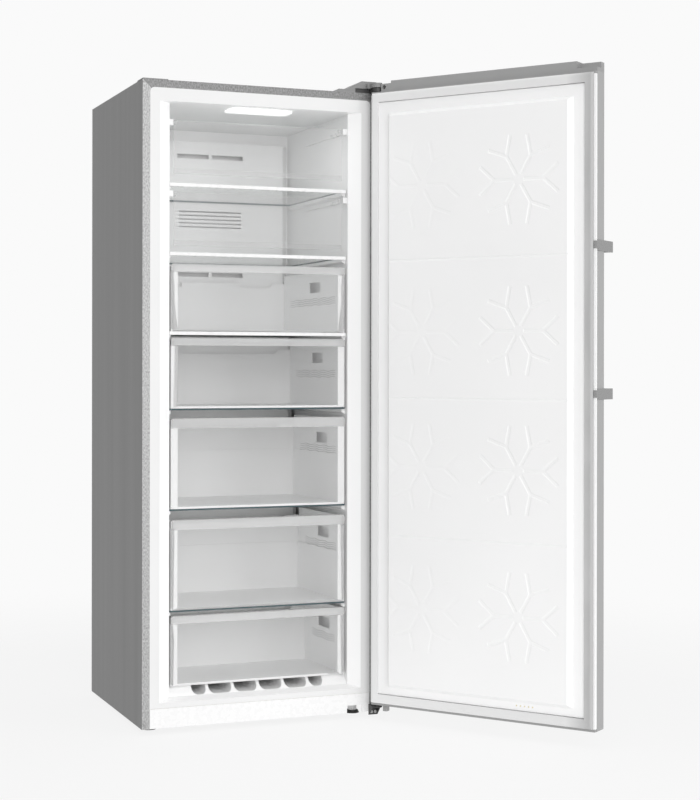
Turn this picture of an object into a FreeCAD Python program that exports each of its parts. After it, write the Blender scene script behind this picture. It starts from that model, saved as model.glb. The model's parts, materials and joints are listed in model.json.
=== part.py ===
import FreeCAD, Part
import math
import os

# Upright frost-free freezer, door swung open.  Millimetres, +Z up, +Y to the back.
# Origin: on the floor, half way across, in the plane of the cabinet's front face.
# Every piece is a solid of its own, written to parts/NODE.step.

V = FreeCAD.Vector

# ---- driving dimensions -------------------------------------------------------------
# cabinet
WIDTH = 710.0            # over the side panels
DEPTH = 608.0            # front face to back panel
FLOOR_GAP = 16.0         # lower edge of the side panels above the floor
SHEET = 1.0              # steel sheet
STRIP = 22.0             # front return of the side and top panels
MITRE = 0.8              # seam where the returns meet at the top corners
FLANGE_SIDE = 28.0       # white front flange beside the opening
FLANGE_TOP = 37.0        # white front flange above the opening
FLANGE_ROUND = 13.0      # its upper corners
BEVEL_SIDE = 34.0        # bevel from the flange into the cavity
BEVEL_TOP = 2.0
BEVEL_DEPTH = 22.0
LINER = 2.0              # liner wall
BACK_FOAM = 61.0         # cavity back to back panel, liner included
CORNER = 5.0             # rounding of the cavity's rear corners
KICK_TOP = 72.0          # seam between kick plate and liner flange
CAVITY_FLOOR = 97.0
RIDGE_HEIGHT = 29.0      # floor ridges that carry the lowest drawer
RIDGE_PITCH = 76.5
RIDGE_CREST = 9.0
TROUGH_ROUND = 16.0      # lower corners of the air channels between the ridges
LEDGE_IN = 72.0          # flat side ledges of the cavity floor
NOSE_RUN = 30.0          # slope at the front end of the ridges
BEAD_IN = 185.0          # stiffening beads of the back sheet, from its sides
BAY_DEPTH = 216.0        # compressor bay
BAY_WALL = 72.0          # foam in front of the bay
BAY_ROOF = 86.0          # foam over the bay
STEP_DROP = 22.0         # lowest pane to the liner's step over the bay
DECK_Z = 22.0            # compressor deck, upper face

# shelves: rise from one pane's upper face to the next, from the floor ridges up
SHELF_RISES = (214.0, 287.0, 285.0, 218.0, 225.0, 196.0)
TOP_SPACE = 224.0        # first pane to the ceiling
GLASS = 5.0
SHELF_FRONT = 32.0
TRIM_HEIGHT = 10.0
TRIM_DEPTH = 15.0
RAIL = 10.0              # moulded rail under each shelf end
RAIL_HEIGHT = 9.0

# ceiling lamp: left, right, front, back
LAMP = (-85.0, 105.0, 30.0, 110.0)
LAMP_ROUND = 18.0
LAMP_DROP = 5.0

# air duct cover in front of the evaporator: face depth in three steps, from the cavity's back
DUCT_DEPTHS = (35.0, 90.0, 135.0)
DUCT_SIDE = 29.0         # duct face to the cavity's side
DUCT_BEVEL = 18.0
DUCT_WALL = 2.5
DUCT_TOP_GAP = 37.0
DUCT_FOOT = 6.0          # above the lowest pane
SLOT_WIDTH = 102.0
SLOT_APART = 11.0
SLOT_HEIGHT = 14.0
SLOT_RISES = (140.0, 190.0, 98.0, 133.0, 136.0)   # above panes 1, 3, 4, 5 and 6
GRILLE_RISE = 115.0      # air return above pane 2
GRILLE_PITCH = 12.0

# flaps of the two upper compartments: upper edges below the ceiling or pane, lower edges above a pane
FLAP_DROPS = (46.0, 24.0)
FLAP_RISES = (27.0, 19.0)
FLAP_WALL = 3.0
FLAP_FRONT = 29.0
FLAP_SIDE = 15.0
FLAP_GRIP = 16.0
PIVOT_DROP = 6.0         # pivot axis below the flap's upper edge
PIVOT_BACK = 8.0         # pivot axis behind the flap's front face
PIVOT_R = 2.5
PIVOT_FIT = 0.08
GUIDE_LENGTH = 120.0     # bar behind each pivot block
GUIDE_REAR = 180.0       # moulded guide's end, from the cavity's back

# drawers, from the top down
DRAWER_GAPS = (27.0, 12.0, 23.0, 26.0, 11.0)     # below the pane above
DRAWER_CLEAR = (10.0, 10.0, 40.0, 40.0, 15.0)    # behind the box
DRAWER_FRONT = 27.0
DRAWER_SIDE = 7.0        # clear front to the cavity's side
BODY_SIDE = 14.0         # moulded box to the cavity's side, at its front end
BODY_TAPER = 12.0        # narrower by this much at the rear, each side
DRAWER_WALL = 2.5
PANE = 3.0
GRIP_BAND = 22.0
GRIP_DEPTH = 18.0
POST_WIDTH = 20.0
POST_DEPTH = 12.0
CUT_LENGTH = 86.0        # grip opening in the drawer's side walls
CUT_HEIGHT = 31.0
CUT_DROPS = (50.0, 55.0, 67.0, 63.0, 61.0)
CUT_SHARES = (0.44, 0.45, 0.41, 0.42, 0.46)      # its middle, as a share of the box's depth
REAR_DROP = 28.0
NOTCH_DEPTH = 14.0
NOTCH_INNER = (96.0, 0.0, 0.0, 0.0, 0.0)
NOTCH_SIDE = 67.0        # notch in the rear wall to the box's side
STEPPED = (2, 3)         # drawers whose walls step outward half way up
STEP_SHARE = 0.56
STEP_OUT = 3.0

# door (modelled closed, then swung open)
DOOR_OPEN = 126.0        # degrees, the rest pose
DOOR_BOTTOM = 43.0
DOOR_DROP = 2.0          # door body below the cabinet's top
# parts of the door's upper edge above the cabinet's top
STEP_RISE = 22.0
STRIP_RISE = 29.0
END_RISE = 9.0
FRONT_RISE = 26.0
DOOR_THICK = 68.0        # cabinet face to door face
STEEL_BACK = 21.0        # the steel wraps back to here
GASKET_THICK = 12.0
SEAL_GAP = 0.4
GASKET_IN = 5.5          # from the door's edge
GASKET_WIDTH = 23.0
GASKET_WIDER = 4.0       # wider along the top and bottom
GASKET_ROUND = 7.0
GASKET_ENDS = (7.5, 4.5)     # seal to the door body's lower and upper edge
CAP_HEIGHT = 8.0
DOOR_ROUND = 0.8         # less than the sheet, so the fold keeps its inner corner
PLATEAU = 6.0            # liner surround behind the cabinet face
PANEL_RISE = 11.0        # raised panel in front of the cabinet face
PANEL_FOOT = 62.0        # raised panel's foot from the door edge
PANEL_SLOPE = 11.0
PANEL_ROUND = 3.0
PANEL_ENDS = (58.0, 65.0)    # raised panel to the door body's lower and upper edge
GROOVE_DROPS = (431.0, 828.0, 1226.0)    # below the raised panel's upper edge
GROOVE_WIDTH = 10.0
GROOVE_DEPTH = 1.5
HOLES_SIDE = 234.0       # row of drain holes, from the door's free edge
HOLES_RISE = 49.0
HOLES_PITCH = 12.4
HINGE_IN = 10.5          # hinge axis from the door's edge
HINGE_OUT = 28.0         # hinge axis in front of the cabinet face
PIN_R = 5.0
PIN_FIT = 0.05
BUSH_R = 8.0
BOSS = 11.0              # half width of the block round each bush
BUSH_LENGTH = 19.0
SWING_R = 17.5           # zone round the axis kept for the hinge bracket and its cover
LUG_DROP = 18.0          # stop lug under the door
STRIP_START = 61.0       # raised strip on the door's upper edge
STRIP_SIDE = 60.0
STRIP_BACK = 20.0

# snowflakes pressed into the door's inner panel
FLAKE_IN = 120.0         # first column from the panel's foot
FLAKE_SIDE = 221.0       # second column from the door's free edge
FLAKE_DROPS = (219.0, 638.0, 1024.0, 1430.0)     # below the raised panel's upper edge
FLAKE_START = 15.0
FLAKE_ARM = 78.0
FLAKE_TIP = 60.0
FLAKE_SPREAD = 41.0      # degrees
FLAKE_WIDTH = 13.0
FLAKE_DEPTHS = (0.5, 1.2)    # first column, second column

# handle
BRACKET_LEVELS = (1362.0, 957.5)
BRACKET_HEIGHT = 30.0
BRACKET_WALL = 2.5
BRACKET_BACK = 22.0
BUTTON = 10.5            # clip's button behind the bracket
BUTTON_CAP = 3.5
HANDLE_OUT = 54.5        # in front of the door face
BAR_DEPTH = 24.0
BAR_WIDTH = 24.0
BAR_IN = 26.0            # bar's outer side from the door's edge
BAR_OVERHANG = 28.0

# hinges; the cover's places are from the cabinet's right side, its heights from the cabinet's top
PLATE = 4.0
PLATE_IN = 79.0
ARM_HEIGHT = 12.0
ARM_R = 15.0
COVER_TAIL = 133.0
COVER_LEFT = 121.0
COVER_STEP = 98.0
COVER_FULL = 49.0
COVER_MOUTH = 69.0       # opening in front, for the bracket's arm
COVER_LOW = 8.5
COVER_HIGH = 34.5
COVER_NOSE = (13.0, 26.0)
COVER_BACK = 110.0
COVER_WALL = 2.0
COVER_ROUND = 3.0
ANGLE_IN = 25.0          # bottom hinge bracket, left end
ANGLE_LOW = 7.0

# feet and rollers
NOTCH = (93.0, 47.0, 22.0)   # in the kick plate: from the right side, above its lower edge
FOOT_IN = 43.0
FOOT_Y = 84.0
FOOT_R = 21.0
FOOT_PAD = 8.0
STEM_R = 5.0
STEM_FIT = 0.08
ROLLER_IN = 43.0
ROLLER_BACK = 42.0
ROLLER_R = 16.0
ROLLER_WIDTH = 18.0
AXLE_R = 4.0
AXLE_FIT = 0.06
RUN = 0.3                # gap of pieces that rest on each other and slide

# works
FAN_R = 52.0
FAN_RISE = 128.0         # above pane 4
EVAP_FOOT = 180.0        # above pane 6
EVAP_DROP = 32.0         # below pane 4
EVAP_DEPTH = 60.0
EVAP_IN = 37.0           # coil's end to the duct's side
HEATER_DROP = 28.0
COMPRESSOR_IN = 190.0
COMPRESSOR_R = 82.0
COMPRESSOR_HEIGHT = 150.0
GROMMET = 10.0
CONDENSER_IN = 33.0
CONDENSER_WIDTH = 140.0
CONDENSER_HEIGHT = 160.0
CONDENSER_ROWS = 5
DRAIN_R = 9.0
DRAIN_FRONT = 45.0       # drain from the cavity's back
LEAD_IN = 34.0           # mains inlet from the left side
LEAD_Z = 40.0
LEAD_R = 9.0
CONTROL_GAP = 115.0      # control box to the compressor's middle
CONTROL_WIDTH = 110.0

# ---- worked out ---------------------------------------------------------------------
HALF = WIDTH / 2
STRIP_HALF = HALF - STRIP
FLANGE_HALF = STRIP_HALF - FLANGE_SIDE
CAVITY_HALF = FLANGE_HALF - BEVEL_SIDE
RIDGE_TOP = CAVITY_FLOOR + RIDGE_HEIGHT
SHELVES = [RIDGE_TOP + sum(SHELF_RISES[:count]) for count in range(len(SHELF_RISES), 0, -1)]
UPPER_SHELVES, LOWER_SHELVES = SHELVES[:3], SHELVES[3:]
CAVITY_TOP = SHELVES[0] + TOP_SPACE
OPENING_TOP = CAVITY_TOP + BEVEL_TOP
FLANGE_TOP_Z = OPENING_TOP + FLANGE_TOP
TOP_Z = FLANGE_TOP_Z + STRIP
CAVITY_BACK = DEPTH - 2 * SHEET - BACK_FOAM
BAY_FRONT = DEPTH - BAY_DEPTH
HUMP_FRONT = BAY_FRONT - BAY_WALL
HUMP_TOP = LOWER_SHELVES[2] - STEP_DROP
BAY_TOP = HUMP_TOP - BAY_ROOF
HINGE_X = HALF - HINGE_IN
DOOR_EDGE = HALF
DOOR_BODY_TOP = TOP_Z - DOOR_DROP
DOOR_STEP_TOP = TOP_Z + STEP_RISE
PANEL_BOTTOM, PANEL_TOP = DOOR_BOTTOM + PANEL_ENDS[0], DOOR_BODY_TOP - PANEL_ENDS[1]
GASKET_BOTTOM, GASKET_TOP = DOOR_BOTTOM + GASKET_ENDS[0], DOOR_BODY_TOP - GASKET_ENDS[1]
GLASS_HALF = CAVITY_HALF - 3.0
DUCT_FACES = [CAVITY_BACK - depth for depth in DUCT_DEPTHS]
DUCT_HALF = CAVITY_HALF - DUCT_SIDE
DUCT_TOP = CAVITY_TOP - DUCT_TOP_GAP
DUCT_BOTTOM = LOWER_SHELVES[2] + DUCT_FOOT
DUCT_STEPS = [pane - GLASS - 0.5 for pane in (UPPER_SHELVES[2], LOWER_SHELVES[1])]
FLAP_TOPS = (CAVITY_TOP - FLAP_DROPS[0], UPPER_SHELVES[0] - FLAP_DROPS[1])
FLAP_BOTTOMS = (UPPER_SHELVES[0] + FLAP_RISES[0], UPPER_SHELVES[1] + FLAP_RISES[1])
FLAP_HALF = CAVITY_HALF - FLAP_SIDE
DRAWER_HALF = CAVITY_HALF - DRAWER_SIDE
BODY_HALF = CAVITY_HALF - BODY_SIDE
DRAWER_FLOORS = [UPPER_SHELVES[2] + 1.0] + LOWER_SHELVES + [RIDGE_TOP]
DRAWER_CEILINGS = UPPER_SHELVES[1:] + LOWER_SHELVES
DRAWER_STOPS = (DUCT_FACES[0], DUCT_FACES[1], DUCT_FACES[1], DUCT_FACES[2], HUMP_FRONT)
DRAWER_REARS = [stop - clear for stop, clear in zip(DRAWER_STOPS, DRAWER_CLEAR)]
FOOT_X = HALF - FOOT_IN
ROLLER_X, ROLLER_Y = HALF - ROLLER_IN, DEPTH - ROLLER_BACK
FAN_Z = LOWER_SHELVES[0] + FAN_RISE
EVAP_BOTTOM = LOWER_SHELVES[2] + EVAP_FOOT
EVAP_TOP = LOWER_SHELVES[0] - EVAP_DROP
EVAP_HALF = DUCT_HALF - EVAP_IN
HEATER_Z = EVAP_BOTTOM - HEATER_DROP
COMPRESSOR_X = HALF - COMPRESSOR_IN
CONDENSER_LEFT = CONDENSER_IN - HALF
CONDENSER_RIGHT = CONDENSER_LEFT + CONDENSER_WIDTH
DRAIN_Y = CAVITY_BACK - DRAIN_FRONT
LEAD_X = LEAD_IN - HALF


# ---- small helpers ------------------------------------------------------------------
def box(x0, x1, y0, y1, z0, z1):
    return Part.makeBox(x1 - x0, y1 - y0, z1 - z0, V(x0, y0, z0))


def rod(radius, start, end):
    along = V(*end) - V(*start)
    return Part.makeCylinder(radius, along.Length, V(*start), along)


def ring(outer, inner, start, end):
    return rod(outer, start, end).cut(rod(inner, start, end))


def face_of(points):
    return Part.Face(Part.makePolygon([V(*p) for p in points] + [V(*points[0])]))


def prism_plan(points, z0, z1):
    """Outline in x, y raised from z0 to z1."""
    return face_of([(x, y, z0) for x, y in points]).extrude(V(0, 0, z1 - z0))


def prism_side(points, x0, x1):
    """Outline in y, z drawn out from x0 to x1."""
    return face_of([(x0, y, z) for y, z in points]).extrude(V(x1 - x0, 0, 0))


def prism_front(points, y0, y1):
    """Outline in x, z drawn out from y0 to y1."""
    return face_of([(x, y0, z) for x, z in points]).extrude(V(0, y1 - y0, 0))


def fuse(shapes):
    first, rest = shapes[0], shapes[1:]
    return first.multiFuse(rest).removeSplitter() if rest else first


def mirrored(shape):
    return shape.mirror(V(0, 0, 0), V(1, 0, 0))


def rounded(shape, radius, wanted):
    """Fillet of the edges for which wanted(edge) is true."""
    edges = [edge for edge in shape.Edges if wanted(edge)]
    return shape.makeFillet(radius, edges)


def runs_along(edge, axis):
    ends = edge.Vertexes[0].Point - edge.Vertexes[-1].Point
    return abs(abs(ends.dot(axis)) - ends.Length) < 1e-6 and ends.Length > 1e-6


def pipe(points, radius, bend):
    """Round bar on straight runs joined by tangent arcs of radius bend."""
    spots = [V(*p) for p in points]
    edges = []
    last = spots[0]
    for before, corner, after in zip(spots, spots[1:], spots[2:]):
        inward = (corner - before).normalize()
        outward = (after - corner).normalize()
        half_turn = inward.getAngle(outward) / 2
        reach = bend * math.tan(half_turn)
        middle = (outward - inward).normalize() * (bend / math.cos(half_turn) - bend)
        start, end = corner - inward * reach, corner + outward * reach
        edges.append(Part.LineSegment(last, start).toShape())
        edges.append(Part.Arc(start, corner + middle, end).toShape())
        last = end
    edges.append(Part.LineSegment(last, spots[-1]).toShape())
    section = Part.Wire(Part.Circle(spots[0], spots[1] - spots[0], radius).toShape())
    return Part.Wire(edges).makePipeShell([section], True, False)


def save(name, shape, on_door=False):
    if on_door:
        shape = shape.copy()
        shape.rotate(V(HINGE_X, -HINGE_OUT, 0), V(0, 0, 1), DOOR_OPEN)
    shape.exportStep("parts/" + name + ".step")


# ---- cabinet body -------------------------------------------------------------------
def cabinet_shell():
    """Steel wrapped over both sides and the top, with its front returns."""
    outer = box(-HALF, HALF, 0, DEPTH - SHEET, FLOOR_GAP, TOP_Z)
    outer = rounded(outer, 2.0, lambda e: runs_along(e, V(0, 1, 0)) and e.CenterOfMass.z > TOP_Z - 1)
    inside = box(-HALF + SHEET, HALF - SHEET, SHEET, DEPTH, FLOOR_GAP - 1, TOP_Z - SHEET)
    opening = flange_plate(-1, SHEET + 1, FLOOR_GAP - 1)
    seam = prism_front([(STRIP_HALF - FLANGE_ROUND, FLANGE_TOP_Z - FLANGE_ROUND),
                        (STRIP_HALF - FLANGE_ROUND + MITRE, FLANGE_TOP_Z - FLANGE_ROUND),
                        (HALF + 1 + MITRE, TOP_Z + 1), (HALF + 1, TOP_Z + 1)], -1, SHEET / 2)
    return outer.cut(fuse([inside, opening])).cut(fuse([seam, mirrored(seam)]))


def flange_plate(front, back, low):
    """Rectangle within the steel returns, its upper corners rounded."""
    plate = box(-STRIP_HALF, STRIP_HALF, front, back, low, FLANGE_TOP_Z)
    return rounded(plate, FLANGE_ROUND,
                   lambda e: runs_along(e, V(0, 1, 0)) and e.CenterOfMass.z > FLANGE_TOP_Z - 1)


def rear_panel():
    """Back sheet with two shallow stiffening beads."""
    sheet = box(-HALF, HALF, DEPTH - SHEET, DEPTH, BAY_TOP, TOP_Z)
    beads = [box(x - 20, x + 20, DEPTH, DEPTH + 3, BAY_TOP + 120, TOP_Z - 120)
             for x in (BEAD_IN - HALF, HALF - BEAD_IN)]
    beads = [rounded(bead, 2.5, lambda e: abs(e.CenterOfMass.y - DEPTH - 3) < 0.01) for bead in beads]
    return fuse([sheet] + beads)


def cavity_volume(grow):
    """Food space, its wall moved out by grow."""
    back = CAVITY_BACK + grow
    outline = [(BEVEL_DEPTH, CAVITY_FLOOR - grow), (HUMP_FRONT + grow, CAVITY_FLOOR - grow)]
    outline += [(HUMP_FRONT + grow, HUMP_TOP - grow), (back, HUMP_TOP - grow)]
    outline += [(back, CAVITY_TOP + grow), (BEVEL_DEPTH, CAVITY_TOP + grow)]
    space = prism_side(outline, -CAVITY_HALF - grow, CAVITY_HALF + grow)
    return rounded(space, CORNER + grow,
                   lambda e: runs_along(e, V(0, 0, 1)) and e.CenterOfMass.y > back - 1)


def rectangle(half, low, high, y):
    corners = [(-half, y, low), (half, y, low), (half, y, high), (-half, y, high)]
    return Part.makePolygon([V(*c) for c in corners + corners[:1]])


def bevel_volume(grow, front):
    """Funnel between the front face and the food space."""
    mouth = rectangle(FLANGE_HALF + grow, KICK_TOP + (CAVITY_FLOOR - KICK_TOP) * 0.6 - grow,
                      OPENING_TOP + grow, front)
    throat = rectangle(CAVITY_HALF + grow, CAVITY_FLOOR - grow, CAVITY_TOP + grow, BEVEL_DEPTH)
    return Part.makeLoft([mouth, throat], True, True)


def floor_ridges():
    """Block that carries the lowest drawer, with round-bottomed air channels between its ridges."""
    front, rear = BEVEL_DEPTH + 3.0, HUMP_FRONT
    block = box(-CAVITY_HALF, CAVITY_HALF, front, rear, CAVITY_FLOOR, RIDGE_TOP)
    ledge = CAVITY_HALF - LEDGE_IN
    crests = [step * RIDGE_PITCH for step in range(-2, 3)]
    starts = [-ledge] + [crest + RIDGE_CREST / 2 for crest in crests]
    ends = [crest - RIDGE_CREST / 2 for crest in crests] + [ledge]
    for start, end in zip(starts, ends):
        trough = box(start, end, front - 1, rear + 1, CAVITY_FLOOR + 1, RIDGE_TOP + TROUGH_ROUND)
        block = block.cut(rounded(trough, TROUGH_ROUND, lambda e: runs_along(e, V(0, 1, 0))))
    nose = prism_side([(front, CAVITY_FLOOR), (front, RIDGE_TOP + 1), (front + NOSE_RUN, RIDGE_TOP + 1)],
                      -CAVITY_HALF, CAVITY_HALF)
    return [block.cut(nose)]


def side_rails():
    """Moulded rails under the shelf ends and beside the flap pivots."""
    rails = []
    for top in UPPER_SHELVES + LOWER_SHELVES:
        level = top - GLASS
        rear = DUCT_FACES[0] - 8 if top in UPPER_SHELVES else DUCT_FACES[1] - 8
        if top == LOWER_SHELVES[2]:
            rear = DUCT_FACES[2] - 8
        outline = [(CAVITY_HALF, level - RAIL_HEIGHT - 6), (CAVITY_HALF - RAIL, level - RAIL_HEIGHT)]
        outline += [(CAVITY_HALF - RAIL, level), (CAVITY_HALF, level)]
        rails.append(prism_front(outline, SHELF_FRONT + 12, rear))
    for top in FLAP_TOPS:
        level = top - PIVOT_DROP
        rails.append(box(CAVITY_HALF - 5, CAVITY_HALF, FLAP_FRONT + GUIDE_LENGTH + 5, CAVITY_BACK - GUIDE_REAR,
                         level - 3, level + 3))
    return rails + [mirrored(rail) for rail in rails]


def lamp_block(inset, low, high):
    left, right, front, back = LAMP
    shape = box(left + inset, right - inset, front + inset, back - inset, low, high)
    return rounded(shape, LAMP_ROUND - inset, lambda e: runs_along(e, V(0, 0, 1)))


def lamp_lens():
    """Diffuser under the cavity ceiling, hollow over the lamp board."""
    body = lamp_block(0, CAVITY_TOP - LAMP_DROP, CAVITY_TOP)
    return body.cut(lamp_block(2.0, CAVITY_TOP - LAMP_DROP + 1.5, CAVITY_TOP + 1))


def lamp_board():
    """Circuit board with a row of diodes, flat against the ceiling inside the diffuser."""
    left, right, front, back = LAMP
    middle = (front + back) / 2
    board = box(left + 20, right - 20, middle - 10, middle + 10, CAVITY_TOP - 1.6, CAVITY_TOP)
    pitch = (right - left - 60) / 7
    leds = [box(left + 28 + pitch * n, left + 32 + pitch * n, middle - 2, middle + 2,
                CAVITY_TOP - 2.3, CAVITY_TOP - 1.6) for n in range(8)]
    return fuse([board] + leds)


def temperature_sensor():
    """Capsule in a clip on the left wall above the third pane."""
    wall, y, z = -CAVITY_HALF, 180.0, UPPER_SHELVES[0] + 150.0
    clip = box(wall, wall + 6, y - 12, y + 12, z - 9, z + 9)
    capsule = rod(4.0, (wall + 9, y - 16, z), (wall + 9, y + 16, z))
    return fuse([clip, capsule])


def inner_liner():
    """White moulded liner: front flange, bevel, food space, ridges and shelf rails."""
    flange = flange_plate(0, LINER, KICK_TOP)
    shell = fuse([flange, bevel_volume(LINER, LINER / 2), cavity_volume(LINER)])
    inside = fuse([bevel_volume(0, 0), cavity_volume(0)])
    liner = shell.cut(inside)
    liner = fuse([liner] + floor_ridges() + side_rails())
    return liner.cut(drain_hole())


def drain_hole():
    return rod(DRAIN_R, (COMPRESSOR_X, DRAIN_Y, BAY_TOP - 30), (COMPRESSOR_X, DRAIN_Y, HUMP_TOP + 4))


def insulation_foam():
    """Foam between the steel skin and the liner, open over the compressor bay."""
    block = box(-HALF + SHEET, HALF - SHEET, LINER, DEPTH - SHEET, KICK_TOP - 2, TOP_Z - SHEET)
    liner_space = fuse([bevel_volume(LINER, LINER / 2), cavity_volume(LINER)])
    bay = box(-HALF, HALF, BAY_FRONT - 4, DEPTH, 0, BAY_TOP)
    return block.cut(liner_space).cut(bay).cut(drain_hole())


def base_frame():
    """Base pan under the foam, side rails, cross bar, compressor deck, roller axles."""
    inner = HALF - SHEET
    pan = [box(-inner, inner, LINER, BAY_FRONT - 2, KICK_TOP - 4, KICK_TOP - 2),
           box(-inner, inner, BAY_FRONT - 4, BAY_FRONT - 2, KICK_TOP - 4, BAY_TOP),
           box(-inner, inner, BAY_FRONT - 4, DEPTH - SHEET, BAY_TOP - 2, BAY_TOP)]
    pan[2] = pan[2].cut(drain_hole())
    rail_x = inner - 2
    side = fuse([box(rail_x, inner, LINER, DEPTH - SHEET, DECK_Z - 2, KICK_TOP - 2),
                 box(rail_x - 12, inner, LINER, DEPTH - SHEET, DECK_Z - 2, DECK_Z)])
    bay_side = box(rail_x, inner, BAY_FRONT - 4, DEPTH - SHEET, KICK_TOP - 4, BAY_TOP)
    bar = fuse([box(-inner, inner, FOOT_Y - 30, FOOT_Y + 30, KICK_TOP - 22, KICK_TOP - 19),
                box(-inner, inner, FOOT_Y + 27, FOOT_Y + 30, KICK_TOP - 22, KICK_TOP - 2)])
    deck = box(-inner, inner, BAY_FRONT - 4, DEPTH - SHEET, DECK_Z - 2, DECK_Z)
    front_lip = box(-inner, inner, BAY_FRONT - 4, BAY_FRONT - 2, DECK_Z - 2, KICK_TOP - 2)
    shapes = pan + [side, mirrored(side), bay_side, mirrored(bay_side), bar, deck, front_lip]
    frame = fuse(shapes)
    for sign in (-1, 1):
        x = sign * ROLLER_X
        clear = ROLLER_WIDTH / 2 + 2
        window = box(x - clear, x + clear, ROLLER_Y - ROLLER_R - 4, ROLLER_Y + ROLLER_R + 4, 0, DECK_Z + 1)
        ears = [box(x + side * clear - 1.5, x + side * clear + 1.5, ROLLER_Y - 10, ROLLER_Y + 10,
                    ROLLER_R - 8, DECK_Z) for side in (-1, 1)]
        axle = rod(AXLE_R, (x - clear - 1.5, ROLLER_Y, ROLLER_R), (x + clear + 1.5, ROLLER_Y, ROLLER_R))
        frame = fuse([frame.cut(window)] + ears + [axle])
    for sign in (-1, 1):
        stem_hole = rod(STEM_R + STEM_FIT, (sign * FOOT_X, FOOT_Y, 0), (sign * FOOT_X, FOOT_Y, KICK_TOP - 4))
        frame = frame.cut(stem_hole)
    return frame


def kick_plate():
    """White plinth with a notch at the right for turning the foot."""
    half = STRIP_HALF - 0.5
    plate = box(-half, half, 0, LINER, FLOOR_GAP + 0.5, KICK_TOP - 0.5)
    left, right, top = NOTCH
    return plate.cut(box(HALF - left, HALF - right, -1, LINER + 1, 0, FLOOR_GAP + top))


def corner_cap():
    """Plastic cap over the front left corner of the top panel."""
    cap = box(-HALF, -HALF + 74, 0, 60, TOP_Z, TOP_Z + 2.5)
    return rounded(cap, 1.5, lambda e: abs(e.CenterOfMass.z - TOP_Z - 2.5) < 0.01)


# ---- hinges -------------------------------------------------------------------------
def top_hinge_bracket():
    """Plate under the cover with a channel-shaped arm over the door and a pin down into it."""
    left, right, low = HALF - PLATE_IN, HALF - 3.5, TOP_Z + PLATE
    plate = box(left, right, 4, 84, TOP_Z, low)
    front_wall = box(HALF - COVER_MOUTH + 2, HINGE_X + 6, 2.5, 5.5, TOP_Z, TOP_Z + ARM_HEIGHT)
    arm = fuse([rod(ARM_R, (HINGE_X, -HINGE_OUT, TOP_Z), (HINGE_X, -HINGE_OUT, TOP_Z + ARM_HEIGHT)),
                box(HINGE_X - 13, HINGE_X + 6, -HINGE_OUT, 6, TOP_Z, TOP_Z + ARM_HEIGHT)])
    channel = fuse([rod(ARM_R - 2.5, (HINGE_X, -HINGE_OUT, low), (HINGE_X, -HINGE_OUT, low + ARM_HEIGHT)),
                    box(HINGE_X - 10.5, HINGE_X + 3.5, -HINGE_OUT, 7, low, low + ARM_HEIGHT)])
    outside = box(HALF - 1, HALF + ARM_R, -HINGE_OUT - ARM_R - 1, 6, TOP_Z - 1, low + ARM_HEIGHT)
    pin = rod(PIN_R, (HINGE_X, -HINGE_OUT, DOOR_BODY_TOP - BUSH_LENGTH + 1), (HINGE_X, -HINGE_OUT, low))
    return fuse([plate, front_wall, arm.cut(channel), pin]).cut(outside)


def cover_nose(inset, low, high):
    """Round-fronted roof over the bracket's arm."""
    radius = SWING_R - 1 - inset
    left, right = HINGE_X - radius, HALF - 1 - inset
    shapes = [rod(radius, (HINGE_X, -HINGE_OUT, low), (HINGE_X, -HINGE_OUT, high)),
              box(left, right, -HINGE_OUT, COVER_WALL, low, high),
              box(left - 8, right, -10 + inset, COVER_WALL, low, high)]
    return fuse(shapes).cut(box(right, right + 30, -HINGE_OUT - 30, COVER_WALL + 1, low - 1, high + 1))


def cover_side(lift):
    """Side view of the cover from its tail to its full height, seen from the front."""
    low, high = TOP_Z + COVER_LOW - lift, TOP_Z + COVER_HIGH - lift
    return [(HALF - COVER_TAIL + lift, TOP_Z - lift), (HALF - COVER_LEFT + lift, low), (HALF - COVER_STEP, low),
            (HALF - COVER_FULL, high), (HALF - 1 - lift, high), (HALF - 1 - lift, TOP_Z - lift)]


def top_hinge_cover():
    """Plastic cover: a low tail, a ramp, a high part, and a lower nose over the pin."""
    body = prism_front(cover_side(0), 0, COVER_BACK)
    body = rounded(body, COVER_ROUND, lambda e: runs_along(e, V(0, 0, 1)) and e.CenterOfMass.y < 1)
    inner = prism_front(cover_side(COVER_WALL), COVER_WALL, COVER_BACK - COVER_WALL)
    low, high = TOP_Z + COVER_NOSE[0], TOP_Z + COVER_NOSE[1]
    mouth = box(HALF - COVER_MOUTH, HALF - 1 - COVER_WALL, -1, COVER_WALL + 1, TOP_Z - 1, low)
    nose = cover_nose(0, low, high).cut(cover_nose(COVER_WALL, low - 1, high - COVER_WALL))
    return fuse([body.cut(inner), nose]).cut(mouth)


def bottom_hinge_bracket():
    """Black angle on the front right corner; its pin carries the door."""
    left, right, high = HALF - ANGLE_IN, HALF + 3, DOOR_BOTTOM - 5
    reach = SWING_R - 1
    flange = box(left, right, -3, 0, ANGLE_LOW, high)
    arm = fuse([rod(reach, (HINGE_X, -HINGE_OUT, high - PLATE), (HINGE_X, -HINGE_OUT, high)),
                box(left, right, -HINGE_OUT, -3, high - PLATE, high)])
    webs = [prism_side([(-3, high - PLATE), (-3, ANGLE_LOW), (-HINGE_OUT, high - PLATE)], x, x + 3)
            for x in (left, right - 3)]
    collar = rod(BUSH_R, (HINGE_X, -HINGE_OUT, high), (HINGE_X, -HINGE_OUT, DOOR_BOTTOM - RUN))
    pin = rod(PIN_R, (HINGE_X, -HINGE_OUT, high), (HINGE_X, -HINGE_OUT, DOOR_BOTTOM + BUSH_LENGTH - 1))
    return fuse([flange, arm, collar, pin] + webs)


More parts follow.
